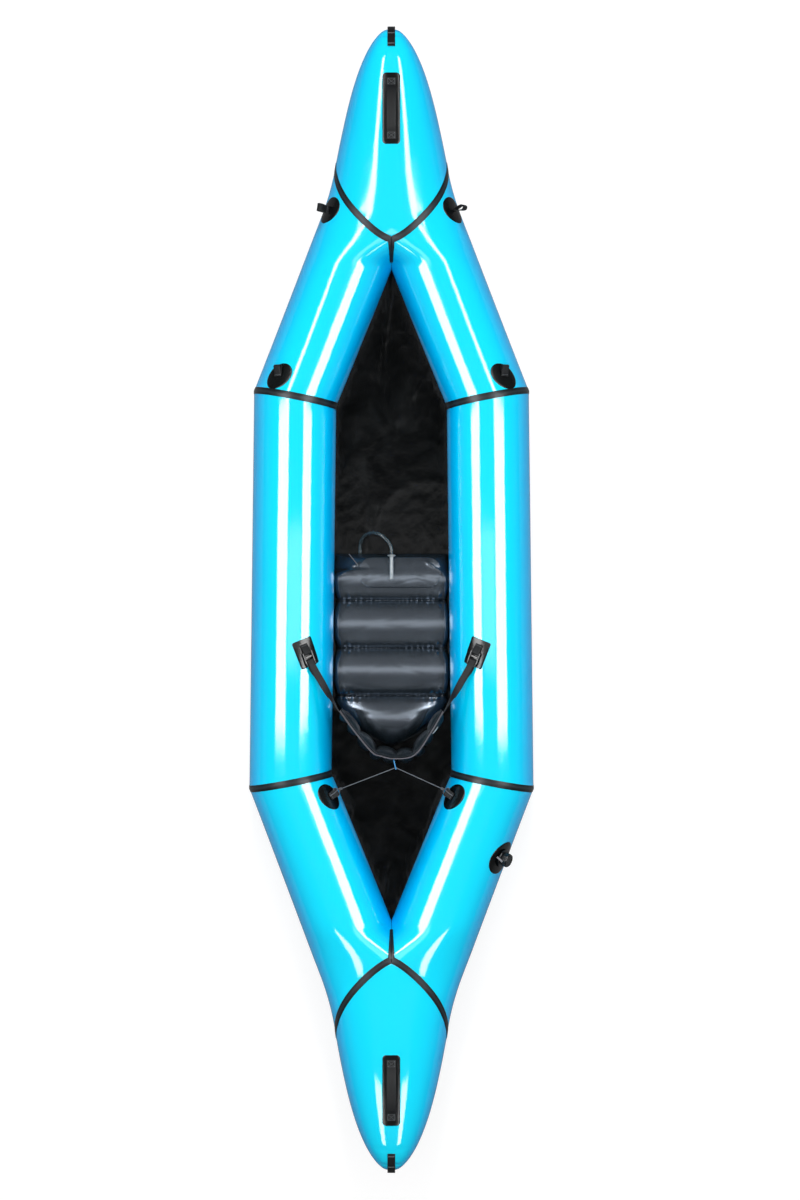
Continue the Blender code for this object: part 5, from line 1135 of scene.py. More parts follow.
def seat_folds(x, y, half):
    """Gathers in the cloth: short folds square to each weld that fade a few centimetres from it,
    longer near the weld's ends, slack hollows, and a slanting fold at each front corner."""
    total = np.zeros(np.broadcast(x, y).shape)
    side = np.clip(np.abs(x) / half, 0.0, 1.0)
    for k, weld in enumerate(SEAT_WELDS[1:4]):
        wave = np.sin(x * 2.0 * math.pi / 0.031 + 2.0 * np.sin(x * 23.0 + k * 1.7) + k * 2.1)
        fade = np.exp(-(np.abs(y - weld) / (0.014 + 0.016 * side ** 4)) ** 2)
        total = total - 0.0030 * np.clip(wave, -0.35, 1.0) * fade * (0.45 + 0.55 * side ** 3)
    slack = creases(x * 0.7, y * 1.6, 31, 0.16, 6, 1.5)
    corner = np.abs((np.abs(x) - 0.112) * 0.43 + (y - 0.124) * 0.90)
    fold = 0.0022 * np.exp(-(corner / 0.0045) ** 2) * np.clip((np.abs(x) - 0.105) / 0.02, 0.0, 1.0)
    return total - 0.0004 * slack + fold * np.clip((y - 0.08) / 0.03, 0.0, 1.0)


def seat_top(x, y):
    """The height of the seat's upper cloth over a place in plan: the cell's crown, which falls to
    the rim at the sides on a power curve, and the folds. The power is 3.4 at the front's left and
    12 at its right, 40 along the middle, and eases to 2.9 over the half round behind."""
    half = np.maximum(seat_width(y), 1e-5)
    share = np.clip(np.abs(x) / half, 0.0, 1.0)
    square = np.where(x < 0.0, 3.4, 12.0)
    square = square + (40.0 - square) * np.clip((0.112 - y) / 0.035, 0.0, 1.0) ** 2
    square = square + (5.0 - square) * np.clip((-0.312 - y) / 0.016, 0.0, 1.0)
    square = square + (2.9 - square) * np.clip((-0.345 - y) / 0.035, 0.0, 1.0)
    fall = np.sqrt(np.clip(1.0 - share ** square, 0.0, None))
    crown = SEAT_BASE + seat_rise(y)
    return SEAT_RIM + (crown - SEAT_RIM) * fall + seat_folds(x, y, half) * np.sqrt(fall)


def seat_cushion():
    """Rows across the seat, closer together at the welds: over the crowned top and back under
    the flat base, whose edges are rounded up to the rim."""
    places = [SEAT_WELDS[k] + (SEAT_WELDS[k + 1] - SEAT_WELDS[k]) * eased(44)[:-1]
              for k in range(4)]
    y = np.concatenate(places + [SEAT_WELDS[-1:]])
    y[0] -= 1e-5
    y[-1] += 1e-5
    half = np.maximum(seat_width(y), 0.0015)[:, None]
    x = half * -np.cos(np.linspace(0.0, math.pi, 120))
    depth = np.broadcast_to(y[:, None], x.shape)
    top = np.stack([x, depth, seat_top(x, depth)], -1)
    under = -np.cos(np.linspace(0.0, math.pi, 50))[None, ::-1][:, 1:-1]
    fall = np.sqrt(np.clip(1.0 - np.abs(under) ** 6, 0.0, None))
    ends = np.clip(np.minimum((SEAT_WELDS[0] - y) / 0.02, (y - SEAT_WELDS[-1]) / 0.03), 0.0, 1.0)
    drop = SEAT_RIM - SEAT_BASE - SKIN_GAP
    rise = SEAT_RIM - drop * fall * np.sqrt(1.0 - (1.0 - ends[:, None]) ** 2)
    bottom = np.stack([under * half, np.broadcast_to(y[:, None], rise.shape), rise], -1)
    piece = surface("inflated_seat", np.concatenate([top, bottom], 1), close_columns=True, caps=True)
    dress(piece, cushion_cloth, "boat", "cushion_fabric", "seat_cushion")


seat_cushion()
for number, weld in enumerate(SEAT_WELDS[1:4]):
    x = np.linspace(-0.180, 0.180, 160)
    line = np.stack([x, np.full(160, weld), seat_top(x, np.full(160, weld)) + 0.0006], 1)
    weld_band = strap("seat_weld_" + str(number), line, [0.0, 1.0, 0.0], half_width=0.0035,
                      thick=0.0012)
    dress(weld_band, cushion_cloth, "boat", "cushion_fabric")


def seat_flap():
    """A loose panel with round corners over the seat's front roll, whose front edge stands off
    the roll as a lip."""
    def lay(share, spread, lift):
        """Its points: the seat's own height and the lift, a rumple, and the lip in front."""
        turn = -np.cos(share * math.pi)
        run = 0.135 * turn
        wide = rounded_half(run, 0.135, 0.052, 0.040)
        x, y = np.broadcast_arrays(0.028 + run, 0.095 + spread * wide)
        edge = np.clip(np.hypot(np.abs(turn) ** 6, np.abs(spread) ** 6), 0.0, 1.0)
        rumple = (0.0004 * creases(x, y, 41, 0.10, 6, 1.4)
                  + 0.0005 * edge * (1.0 + np.sin(x * 92.0 + y * 40.0)))
        held = y - 0.35 * np.clip(y - 0.110, 0.0, None)
        z = seat_top(x, held) + 0.0016 + np.clip(lift, 0.0, None) * 0.9 + rumple
        return np.stack([x, y, z], -1)
    spread = np.linspace(-1.0, 1.0, 36)
    rise = np.clip((1.0 - np.abs(spread)) * 30.0, 0.05, 1.0)
    piece = banded("seat_front_panel", lay, 110, spread, rise, 0.0012)
    dress(piece, cushion_cloth, "boat", "cushion_fabric", "seat_front_flap")


seat_flap()

# The seat's inflation hose. A clear flexible tube 12 mm across rises from the seat's front edge,
# arches over and ends in a white mouthpiece with a flange and a nozzle that twists to shut it.


def round_tube(name, path, radius, sides=20):
    """A closed round tube about a path, its rings kept from turning by carrying one direction.
    U runs along it in metres and V round it from 0 to 1."""
    path = np.asarray(path, float)
    ahead = headings(path)
    side = np.cross(ahead[0], [0.31, 0.11, 0.94])
    sides_kept = []
    for direction in ahead:
        side = unit(side - direction * (side @ direction))
        sides_kept.append(side)
    side = np.array(sides_kept)
    up = np.cross(ahead, side)
    turn = around(sides)[None, :, None]
    grid = path[:, None] + radius * (side[:, None] * np.cos(turn) + up[:, None] * np.sin(turn))
    piece = surface(name, grid, close_columns=True, caps=True, weld=1e-7)
    run = lengths_to(path)
    lay_uv(piece, run, np.arange(sides) / sides)
    return piece, float(run[-1])


def clear_tube():
    """Clear polyurethane tube with a cold blue tint, its face a little dulled by handling."""
    material, tree = finish_named("clear_blue_polyurethane")
    haze = noise(tree, add(tree, "TexCoord").outputs["Object"], 90.0, 3.0)
    polish = add(tree, "MapRange", Value=haze, To_Min=0.05, To_Max=0.22)
    return shaded(material, Base_Color=linear("#46555c"), Roughness=polish.outputs[0], IOR=1.45,
                  Transmission_Weight=0.55)


HOSE_ROUTE = ((-0.1070, 0.1584, 0.0220), (-0.1070, 0.1720, 0.0220), (-0.1060, 0.1900, 0.0290),
              (-0.1000, 0.2080, 0.0430), (-0.0870, 0.2210, 0.0600), (-0.0690, 0.2270, 0.0760),
              (-0.0500, 0.2250, 0.0890), (-0.0310, 0.2160, 0.0970), (-0.0140, 0.2000, 0.1000),
              (-0.0030, 0.1820, 0.1000), (0.0000, 0.1660, 0.1000), (0.0000, 0.1523, 0.1015))
hose_path = smooth_path(HOSE_ROUTE, 90)
hose, hose_length = round_tube("seat_clear_hose", hose_path, radius=0.006)
dress(hose, clear_tube(), "boat", "clear_hose", "seat_inflation_hose")


def turned(name, origin, axis, profile, sides, cuts=None):
    """A piece turned about an axis from a closed profile of radius and height; cuts(radius,
    turn) may draw points in for the hollows of a grip."""
    axis = unit(np.asarray(axis, float))
    first = unit(np.cross(axis, [1.0, 0.0, 0.0] if abs(axis[0]) < 0.8 else [0.0, 1.0, 0.0]))
    second = np.cross(axis, first)
    turn = around(sides)[:, None]
    radius, height = (np.broadcast_to(np.asarray(profile, float)[:, k], (sides, len(profile)))
                      for k in (0, 1))
    if cuts is not None:
        radius = cuts(radius, turn)
    grid = (np.asarray(origin, float) + first * (radius * np.cos(turn))[..., None]
            + second * (radius * np.sin(turn))[..., None] + axis * height[..., None])
    return surface(name, grid, close_rows=True, close_columns=True, weld=1e-6)


def softened(profile, corner):
    """A closed profile with each corner replaced by a short bevel of three points."""
    profile = np.asarray(profile, float)
    before = np.roll(profile, 1, axis=0) - profile
    after = np.roll(profile, -1, axis=0) - profile
    size_b, size_a = (np.linalg.norm(v, axis=1, keepdims=True) for v in (before, after))
    near = profile + before / size_b * np.minimum(corner, size_b * 0.4)
    far = profile + after / size_a * np.minimum(corner, size_a * 0.4)
    middle = (near + far) * 0.25 + profile * 0.5
    return np.stack([near, middle, far], 1).reshape(-1, 2)


def moulded(name, colour, rough):
    """Injection moulded plastic: one colour with a very fine texture and slightly worn gloss."""
    material, tree = finish_named(name)
    place = add(tree, "TexCoord").outputs["Object"]
    wear = noise(tree, place, 70.0, 4.0)
    polish = add(tree, "MapRange", Value=wear, To_Min=rough - 0.06, To_Max=rough + 0.10)
    return shaded(material, Base_Color=ramp(tree, wear, *colour, 0.3, 0.75),
                  Roughness=polish.outputs[0], IOR=1.5,
                  Normal=bumps(tree, (noise(tree, place, 900.0, 1.0), 0.15, 0.0003)))


white_nylon = moulded("white_moulded_nylon", ("#8d9599", "#aab1b5"), rough=0.30)
MOUTH_AXIS = np.array([0.002953851595520973, -0.9942685961723328, 0.10687018930912018])
MOUTH_LENGTH = 0.066
mouth = np.array(HOSE_ROUTE[-1]) + MOUTH_AXIS * SKIN_GAP
mouthpiece = turned("inflation_mouthpiece", mouth, MOUTH_AXIS, softened(
    [(0.0035, 0.0), (0.013, 0.0), (0.013, 0.003), (0.0072, 0.0048), (0.0062, 0.0078),
     (0.0062, MOUTH_LENGTH), (0.0035, MOUTH_LENGTH)], corner=0.0006), sides=40)
dress(mouthpiece, white_nylon, "boat", "white_plastic", "seat_mouthpiece")


def nozzle_grip(radius, turn):
    """Twelve shallow grooves round the wide end of the nozzle."""
    groove = (0.5 + 0.5 * np.cos(12.0 * turn)) ** 2
    return radius - np.where(radius > 0.0066, 0.0004, 0.0) * groove


foot = mouth + MOUTH_AXIS * (MOUTH_LENGTH + SKIN_GAP)
nozzle = turned("twist_nozzle", foot, MOUTH_AXIS, softened(
    [(0.0020, 0.0), (0.0062, 0.0), (0.0062, 0.0088), (0.0075, 0.0112), (0.0075, 0.016),
     (0.0020, 0.016)], corner=0.0005), sides=72, cuts=nozzle_grip)
dress(nozzle, white_nylon, "nozzle", "white_plastic", "seat_mouth_nozzle")


def braid(name, colours):
    """Braided nylon cord: strands that cross in small diamonds about 3 mm long, the colour painted
    darker between them and paler on their crests as painted shade.
    """
    material, tree = finish_named(name)
    parts = add(tree, "SeparateXYZ", Vector=add(tree, "UVMap").outputs[0]).outputs
    diamonds_per_m = 330.0
    run = maths(tree, "MULTIPLY", parts["X"], diamonds_per_m * 2.0 * math.pi)
    turn = maths(tree, "MULTIPLY", parts["Y"], 8.0 * math.pi)
    waves = [maths(tree, "SINE", maths(tree, kind, run, turn)) for kind in ("ADD", "SUBTRACT")]
    high = maths(tree, "MAXIMUM", *waves)
    height = add(tree, "MapRange", Value=high, From_Min=-1.0, From_Max=1.0).outputs[0]
    # Painted shade: the colour follows the strands' height, dark between them and pale on their
    # crests.
    return shaded(material, Base_Color=ramp(tree, height, *colours), Roughness=0.6,
                  Normal=bumps(tree, (height, 0.6, 0.0004)))


CORD_RADIUS = 0.0015
grey_braid = braid("grey_braided_cord", ("#33383e", "#6c7279"))
blue_braid = braid("blue_braided_cord", ("#0f4f86", "#3fa0e0"))
TIE_ROUTE = ((-0.1130, 0.1180, 0.0778), (-0.1190, 0.1260, 0.0720), (-0.1270, 0.1360, 0.0645),
             (-0.1350, 0.1460, 0.0580), (-0.1430, 0.1560, 0.0500))
tie_path = smooth_path(TIE_ROUTE, 30)
tie, tie_length = round_tube("seat_tie", tie_path, CORD_RADIUS, 12)
dress(tie, grey_braid, "boat", "grey_cord", "seat_tie_cord")

# The backrest. An inflated band of charcoal coated nylon curved round the rear of the seat, with
# six upright pads on its inner face and nine narrower lobes behind. Webbing is sewn along its
# top edge, standing on edge, and a small white tab sits on each side.
BACK_TOP = 0.262
BACK_HALF = 0.163
BACK_FOOT = 0.0018
BACK_END_RISE = 0.135
back_line = smooth_path([(-0.1655, -0.3600, 0.0), (-0.1210, -0.4225, 0.0), (-0.0630, -0.4925, 0.0),
                         (-0.0339, -0.5065, 0.0), (0.0115, -0.5150, 0.0), (0.0740, -0.5030, 0.0),
                         (0.1260, -0.4310, 0.0), (0.1655, -0.3625, 0.0)], 361)
back_ahead = headings(back_line)
back_inward = np.stack([-back_ahead[:, 1], back_ahead[:, 0], 0.0 * back_ahead[:, 0]], 1)
INNER_WELDS = np.array([0.0, 0.204, 0.375, 0.526, 0.650, 0.830, 1.0])
OUTER_WELDS = np.array([0.0, 0.105, 0.214, 0.346, 0.428, 0.532, 0.640, 0.725, 0.840, 1.0])


def swelling(share, welds):
    """How far cloth stands up between two welds: a round arch, 0 on a weld and 1 midway."""
    cell = np.clip(np.searchsorted(welds, share, side="right") - 1, 0, len(welds) - 2)
    part = (share - welds[cell]) / (welds[cell + 1] - welds[cell])
    return np.sqrt(np.clip(np.sin(math.pi * part), 0.0, None))


def back_band():
    """For each place along the line an upright section: it swells from a round foot, is fullest
    a little under half way up, and thins to a flat edge that the webbing is sewn to. The foot is
    higher the further out it is. Between welds the cloth arches, on a weld it is drawn in to a
    quarter or so, and creases and gathers under the webbing are taken off."""
    share = np.linspace(0.0, 1.0, len(back_line))[:, None]
    off = np.clip(np.abs(back_line[:, :1]) / BACK_HALF, 0.0, 1.0)
    low = BACK_FOOT + BACK_END_RISE * off ** 1.8
    climb = np.linspace(0.0, 1.0, 44)[None, :]
    ends = 0.32 + 0.68 * np.sqrt(np.clip(np.minimum(share, 1.0 - share) / 0.05, 0.0, 1.0))
    height = low + (BACK_TOP - low) * climb
    held = np.clip(climb / 0.06, 0.0, 1.0) * np.clip((0.97 - climb) / 0.06, 0.0, 1.0)
    gather = 0.0016 * np.exp(-((0.93 - climb) / 0.07) ** 2) * np.sin(
        share * 2.0 * math.pi * 61.0 + 3.0 * np.sin(share * 37.0))
    layers = []
    for way, bulge, welds, seed, foot in ((-1.0, 0.0285 - 0.006 * off ** 2, OUTER_WELDS, 51, 0.0),
                                          (1.0, 0.0235 - 0.009 * off ** 2, INNER_WELDS, 57, 0.32)):
        part = np.clip((climb - foot * off) / (0.945 - foot * off), 0.0, 1.0)
        full = np.clip(1.0 - np.abs(2.0 * part ** 0.92 - 1.0) ** 2.7, 0.0, None) ** 0.46
        arch = 1.0 - 0.72 * held * (1.0 - swelling(share, welds))
        slack = creases(share * 0.48, height * 1.2, seed, 0.045, 7, 1.4)
        deep = np.maximum(bulge * full * arch * ends - (0.0022 * slack + gather) * full, 0.0023)
        spot = back_line[:, None] + back_inward[:, None] * (way * deep)[..., None]
        spot[..., 2] = height
        layers.append(spot)
    grid = np.concatenate([layers[0][:, ::-1], layers[1][:, 1:]], axis=1)
    piece = surface("inflated_backrest", grid, close_columns=True, caps=True)
    dress(piece, backrest_cloth, "backrest", "cushion_fabric", "backrest")


back_band()
grey_binding = webbing("grey_binding_webbing", ("#4a4850", "#6f6c74"))
rim_path = back_line - back_inward * 0.0052
rim_path[:, 2] = BACK_TOP - 0.0118
rim = strap("backrest_rim_webbing", rim_path, UPWARDS, WEB_HALF, thick=0.0034)
dress(rim, grey_binding, "backrest", "webbing")
for row, drop in (("high", 0.009), ("low", -0.009)):
    line = rim_path - back_inward * 0.0019 + UPWARDS * drop
    stitches("backrest_rim_seam_" + row, line, -back_inward, "backrest")
white_tape = webbing("white_tape", ("#aeb4ba", "#e4e8ec"))
for side_name, spots in (("left", ((-0.1375, -0.4140), (-0.1290, -0.4245), (-0.1200, -0.4345))),
                         ("right", ((0.1530, -0.4170), (0.1450, -0.4285), (0.1364, -0.4385)))):
    tab_path = smooth_path([(x, y, 0.2400 + 0.0035 * (k == 1))
                            for k, (x, y) in enumerate(spots)], 24)
    tab = strap("backrest_white_tab_" + side_name, tab_path, [0.0, 0.35, 1.0], half_width=0.0042)
    dress(tab, white_tape, "backrest", "webbing")

# The blue cord loop behind the backrest, and the thin cord that runs through it between the two
# rear discs. At each disc that cord is tied round its webbing loop, with a short tail.


def round_ring(name, path, radius, sides=14):
    """A closed round tube about a closed path that lies nearly in one plane, its rings held to
    the plane's normal. U runs along it in metres and V round it from 0 to 1."""
    path = np.asarray(path, float)
    flat = np.linalg.svd(path - path.mean(axis=0))[2][2]
    out = np.cross(headings(path, closed=True), flat)
    turn = around(sides)[None, :, None]
    grid = path[:, None] + radius * (flat * np.cos(turn) + out[:, None] * np.sin(turn))
    piece = surface(name, grid, close_rows=True, close_columns=True, weld=1e-7)
    lay_uv(piece, lengths_to(path), np.arange(sides) / sides)
    return piece


LOOP_AWAY = unit(np.array([0.0065, -0.0300, 0.0]))
LOOP_CENTRE = np.array([0.0112, -0.5400, 0.2470])
LOOP_REACH = 0.0160
turn = around(72)[:, None]
loop_path = (LOOP_CENTRE + LOOP_AWAY * LOOP_REACH * np.cos(turn)
             + np.array([0.0, 0.0, 0.0060]) * np.sin(turn) * (1.0 - 0.25 * np.cos(turn)))
blue_loop = round_ring("blue_loop_of_cord", loop_path, radius=0.0020)
dress(blue_loop, blue_braid, "backrest", "blue_cord", "blue_cord_loop")

cord_middle = LOOP_CENTRE + LOOP_AWAY * (LOOP_REACH - 0.0039)


def at_place(place, along, across, up):
    """A point given by its distances along a place's three directions."""
    return place[0] + place[1] * along + place[2] * across + place[3] * up


knots, cord_parts = {}, []
for side_name, side in SIDES:
    place = rear_hooks[side]
    bight = smooth_path([at_place(place, a, c, u) for a, c, u in (
        (0.0225, -0.008, 0.0072), (0.0225, 0.008, 0.0072), (0.0270, 0.0152, 0.0078),
        (0.0370, 0.0095, 0.0088), (0.0455, 0.0012, 0.0100), (0.0455, -0.0012, 0.0100),
        (0.0370, -0.0095, 0.0088), (0.0270, -0.0152, 0.0078))], 90, closed=True)
    piece = round_ring("rear_cord_bight_" + side_name, bight, CORD_RADIUS, 12)
    knots[side] = at_place(place, 0.0475, 0.0, 0.0102)
    pull = unit(cord_middle - knots[side])
    first = unit(np.cross(pull, UPWARDS))
    second = np.cross(first, pull)
    spin = np.linspace(0.0, 3.0 * 2.0 * math.pi, 70)[:, None]
    wraps = (knots[side] + pull * (spin / spin[-1] * 0.0078 - 0.001)
             + (first * np.cos(spin) + second * np.sin(spin)) * 0.0030)
    knot, _ = round_tube("rear_cord_knot_" + side_name, wraps, CORD_RADIUS, 10)
    tail_path = smooth_path([at_place(place, a, c * side, u) for a, c, u in (
        (0.0480, 0.0020, 0.0125), (0.0380, 0.0045, 0.0160), (0.0240, 0.0050, 0.0176),
        (0.0080, 0.0046, 0.0158), (-0.0060, 0.0040, 0.0060))], 40)
    tail, _ = round_tube("rear_cord_tail_" + side_name, tail_path, CORD_RADIUS, 10)
    for made in (piece, knot, tail):
        cord_parts.append(dress(made, grey_braid, "boat", "grey_cord"))
bends = [cord_middle + np.array([side * 0.0042, -0.0004, 0.0]) for side in (-1, 1)]
sag = UPWARDS * 0.0006
rear_path = smooth_path([knots[-1], (knots[-1] + bends[0]) * 0.5 - sag, bends[0], cord_middle,
                         bends[1], (knots[1] + bends[1]) * 0.5 - sag, knots[1]], 220)
rear_line, rear_length = round_tube("backrest_rear_cord", rear_path, CORD_RADIUS, 12)
dress(rear_line, grey_braid, None, "grey_cord", "rear_cord")
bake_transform(rear_line)

# The backrest's straps. On each side tube a square patch is welded on at a slant, a loop of
# webbing sewn to it holds a ladder-lock buckle, and the strap from the backrest's end passes
# over the buckle's end bar, down round the next one and back out as a loose tail.
black_nylon = moulded("black_moulded_nylon", ("#0b0d0f", "#1a1e21"), rough=0.20)
SLANT = math.radians(22.0)
ANCHOR_BACK = 0.172
ANCHOR_OUT = 0.2800
TUBE_MIDDLE_OUT = 0.3308


def on_side(side, forward, angle, lift):
    """The point of a side tube's cloth at a distance forward and an angle."""
    forward, angle, lift = np.broadcast_arrays(forward, angle, lift)
    rear, front = -STERN.mitre_at(angle), BOW.mitre_at(angle)
    return side_tube_point(side, (forward - rear) / (front - rear), angle, lift)


def slanted(side, along, across, lift):
    """A point of the patch, whose middle is at ANCHOR_OUT and ANCHOR_BACK: along it towards the
    cockpit and the stern, and across it, both turned by the slant and wrapped on the tube."""
    start = math.acos((ANCHOR_OUT - TUBE_MIDDLE_OUT) / TUBE_RADIUS)
    inward = along * math.sin(SLANT) - across * side * math.cos(SLANT)
    back = along * math.cos(SLANT) + across * side * math.sin(SLANT)
    return on_side(side, -ANCHOR_BACK - back, start + inward / TUBE_RADIUS, lift)


LOCK_LENGTH = 0.048


def lock_bar(place, a0, a1, c0, c1, rise=0.0):
    """A bar of the buckle between two distances along it and two across: eight points round, and
    nine rings that curve up and draw in a little towards the lip."""
    a = np.linspace(a0, a1, 9)
    lip = 0.0055 * np.clip(a / LOCK_LENGTH - 0.55, 0.0, None) ** 2 / 0.2025
    flare = 1.0 - 0.14 * np.clip(a / LOCK_LENGTH - 0.72, 0.0, None) / 0.28
    section = np.array([(-1, 0.18), (-0.8, 0.0), (0.8, 0.0), (1, 0.18), (1, 0.78), (0.72, 1.0),
                        (-0.72, 1.0), (-1, 0.78)])
    across = 0.5 * (c0 + c1) + section[None, :, 0] * (0.5 * (c1 - c0))
    grid = np.stack([np.broadcast_to(a[:, None], (9, 8)), across * flare[:, None],
                     lip[:, None] + section[None, :, 1] * (0.0035 + rise)], -1)
    return (place[0] + place[1] * grid[..., :1] + place[2] * grid[..., 1:2]
            + place[3] * grid[..., 2:]).reshape(-1, 3)


def ladder_lock(name, node, place):
    """A buckle of rounded bars: two side rails that thicken and curve up at the lip, and four
    cross bars, joined into one outline, then given soft edges."""
    bars = [lock_bar(place, k, k + 0.006, -0.0150, 0.0150) for k in (0.0, 0.014, 0.028)]
    bars.append(lock_bar(place, 0.042, LOCK_LENGTH, -0.0150, 0.0150, 0.0006))
    bars += [lock_bar(place, 0.0, LOCK_LENGTH, 0.0132, 0.0180, 0.0011),
             lock_bar(place, 0.0, LOCK_LENGTH, -0.0180, -0.0132, 0.0011)]
    points = np.concatenate(bars)
    faces = bar_faces(9, 8, len(bars))
    mesh = bpy.data.meshes.new(name)
    mesh.from_pydata(points.tolist(), [], faces)
    work = bmesh.new()
    work.from_mesh(mesh)
    bmesh.ops.recalc_face_normals(work, faces=work.faces)
    work.to_mesh(mesh)
    work.free()
    piece = bpy.data.objects.new(name, mesh)
    scene.collection.objects.link(piece)
    joined = piece.modifiers.new("one_moulding", "REMESH")
    joined.mode = "VOXEL"
    joined.voxel_size = 0.00045
    softer = piece.modifiers.new("soft_edges", "SMOOTH")
    softer.factor, softer.iterations = 0.5, 3
    bpy.context.view_layer.update()
    depsgraph = bpy.context.evaluated_depsgraph_get()
    made = bpy.data.meshes.new_from_object(piece.evaluated_get(depsgraph))
    piece.modifiers.clear()
    piece.data = made
    made.shade_smooth()
    dress(piece, black_nylon, "boat", "moulded_plastic", node)


for side_name, side in SIDES:
    patch("strap_base_" + side_name, "strap_patch_" + side_name, 70, half_length=0.0465,
          half_width=0.0345, corner=0.006, thinned=0.006,
          at=lambda run, out, lift: slanted(side, run, out, lift))
    lifted = SKIN_GAP + PATCH_THICK
    middle, ahead, normal = (
        slanted(side, np.array(along), np.array(0.0), np.array(lift))
        for along, lift in ((0.0, lifted), (0.001, lifted), (0.0, lifted + 0.001)))
    ahead, normal = unit(ahead - middle), unit(normal - middle)
    top = (middle, ahead, np.cross(normal, ahead), normal)
    loop_place = (at_place(top, -0.0279, 0.0, 0.0003),) + top[1:]
    folded_loop("strap_webbing_loop_" + side_name, "strap_loop_" + side_name, loop_place,
                length=0.034, height=0.013, rise=0.0002)
    lock = (at_place(top, -0.0034, 0.0, 0.0058),) + top[1:]
    ladder_lock("ladder_lock_" + side_name, "buckle_" + side_name, lock)
    # The strap's path: from the backrest's end over the buckle's end bar, round the next one and
    # back out as the tail. It turns from standing on edge at the backrest to flat at the buckle.
    end = 0 if side < 0 else -1
    tip = rim_path[end] - back_inward[end] * 0.0036
    foot = rim_path[14 * (1 if side < 0 else -1)] - back_inward[end] * 0.0036
    leave = at_place(lock, 0.0580, 0.0, 0.0138)
    run = [foot, tip + (tip - foot) * 0.2]
    run += [run[1] + (leave - run[1]) * part for part in (0.33, 0.66)] + [leave]
    bar = [at_place(lock, 0.031 + 0.0050 * math.cos(t), 0.0, 0.0020 + 0.0050 * math.sin(t))
           for t in np.linspace(math.pi * 0.5, math.pi * 1.5, 7)]
    aside = lock[2] * (side * 0.0022)
    back = [at_place(lock, 0.0480, 0.0, -0.0030), at_place(lock, 0.0620, 0.0, 0.0040) + aside]
    down = np.array([0.0, 0.0, -0.0040])
    back += [leave + (run[1] - leave) * part + down + aside for part in (0.22, 0.42, 0.66)]
    path = smooth_path(run + bar + back, 260)
    gone = np.linalg.norm(path - foot, axis=1)
    flatness = np.clip(gone / (np.linalg.norm(leave - foot) * 0.80), 0.0, 1.0)
    flatness = flatness * flatness * (3.0 - 2.0 * flatness)
    flatness = flatness[:, None]
    wide = lock[2] * flatness + UPWARDS * side * (1.0 - flatness)
    piece = strap("backrest_strap_" + side_name, path, wide, half_width=0.0113)
    dress(piece, black_webbing, None, "webbing", "back_strap_" + side_name)
    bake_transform(piece)

# The valve. A one-way valve on the rear right tube: its base is welded on with a round patch,
# its neck holds a sprung poppet, and a lobed screw cap closes it on a rubber seal.
VALVE_BASE = np.array([0.3685, -0.85157, 0.22259])
VALVE_AXIS = np.array([0.803927, -0.31835, 0.502349])
disc(STERN, 1, "valve_base_patch", "valve_patch", STERN.mitre + 0.250, math.radians(32.0),
     radius=0.056, hole=0.0193)
body = turned("valve_base_and_neck", VALVE_BASE, VALVE_AXIS, softened(
    [(0.0190, -0.026), (0.0190, 0.0), (0.0310, 0.0), (0.0310, 0.0012), (0.0300, 0.0035),
     (0.0190, 0.0035), (0.0190, 0.020), (0.0150, 0.020), (0.0150, -0.010), (0.0085, -0.010),
     (0.0085, -0.013), (0.0150, -0.013), (0.0150, -0.026)], corner=0.0004), sides=96)
dress(body, black_nylon, "boat", "moulded_plastic", "valve_body")
poppet = turned("valve_poppet_and_stem", VALVE_BASE, VALVE_AXIS, softened(
    [(0.0, -0.0163), (0.0125, -0.0163), (0.0125, -0.0133), (0.0030, -0.0133), (0.0030, -0.0005),
     (0.0076, -0.0005), (0.0076, 0.0035), (0.0, 0.0035)], corner=0.0003), sides=64)
dress(poppet, black_nylon, "poppet", "moulded_plastic", "valve_poppet")
steel, tree = finish_named("spring_steel_wire")
drawn = noise(tree, add(tree, "TexCoord").outputs["Object"], 2400.0, 2.0)
polish = add(tree, "MapRange", Value=drawn, To_Min=0.18, To_Max=0.38)
shaded(steel, Base_Color=linear("#b9bcc0"), Metallic=1.0, Roughness=polish.outputs[0])
valve_side = unit(np.cross(VALVE_AXIS, UPWARDS))
valve_up = np.cross(valve_side, VALVE_AXIS)
spin = np.linspace(0.0, 8.0 * math.pi, 240)[:, None]
coil = (VALVE_BASE + VALVE_AXIS * (-0.0087 + 0.0069 * spin / spin[-1])
        + (valve_side * np.cos(spin) + valve_up * np.sin(spin)) * 0.0066)
spring, _ = round_tube("valve_return_spring", coil, radius=0.0005, sides=10)
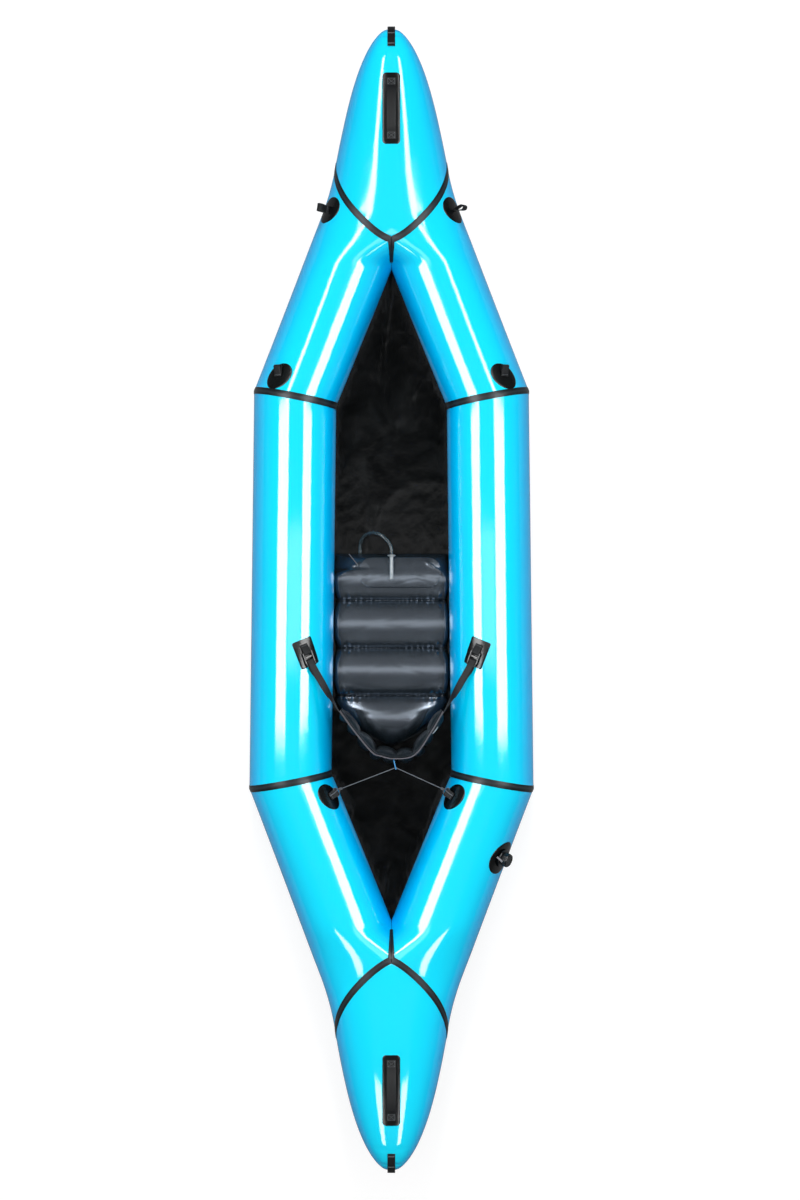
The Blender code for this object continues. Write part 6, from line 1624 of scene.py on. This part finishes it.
dress(spring, steel, None, "spring_steel", "valve_spring")
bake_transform(spring)
rubber = moulded("black_seal_rubber", ("#101214", "#1c1f22"), rough=0.62)
seal = turned("valve_cap_seal", VALVE_BASE, VALVE_AXIS, softened(
    [(0.0110, 0.0203), (0.0190, 0.0203), (0.0190, 0.0223), (0.0110, 0.0223)], corner=0.0004),
              sides=64)
dress(seal, rubber, "cap_seal", "seal_rubber", "valve_seal")


def cap_lobes(radius, turn):
    """Eight finger lobes round the cap, with fine ribs on their crests."""
    hollow = 0.0022 * ((1.0 - np.cos(8.0 * turn)) * 0.5) ** 2
    ribs = 0.00022 * (0.5 - 0.5 * np.cos(64.0 * turn))
    return radius - np.where(radius > 0.0208, hollow + ribs, 0.0)


cap = turned("valve_screw_cap", VALVE_BASE, VALVE_AXIS, softened(
    [(0.0193, 0.0038), (0.0232, 0.0038), (0.0235, 0.0060), (0.0235, 0.0205), (0.0212, 0.0246),
     (0.0165, 0.0251), (0.0156, 0.0239), (0.0082, 0.0239), (0.0074, 0.0251), (0.0, 0.0251),
     (0.0, 0.0226), (0.0193, 0.0226)], corner=0.0006), sides=320, cuts=cap_lobes)
dress(cap, black_nylon, "cap", "moulded_plastic", "valve_cap")
valve_in = unit(-SIDEWAYS + VALVE_AXIS * VALVE_AXIS[0])
valve_down = np.cross(VALVE_AXIS, valve_in)
leash_path = smooth_path([VALVE_BASE + valve_in * a + valve_down * b + VALVE_AXIS * h for a, b, h in (
    (0.0375, -0.0300, 0.0022), (0.0345, -0.0255, 0.0030), (0.0305, -0.0185, 0.0075),
    (0.0270, -0.0120, 0.0112), (0.0250, -0.0070, 0.0128))], 40)
grey_nylon = moulded("pale_grey_moulded_nylon", ("#8b8d92", "#a9abb0"), rough=0.30)
leash_wide = VALVE_AXIS * 0.25 + np.cross(VALVE_AXIS, np.gradient(leash_path, axis=0) / 0.001)
leash = strap("valve_cap_leash", leash_path, leash_wide, half_width=0.0030, thick=0.0015)
dress(leash, grey_nylon, "boat", "moulded_plastic")
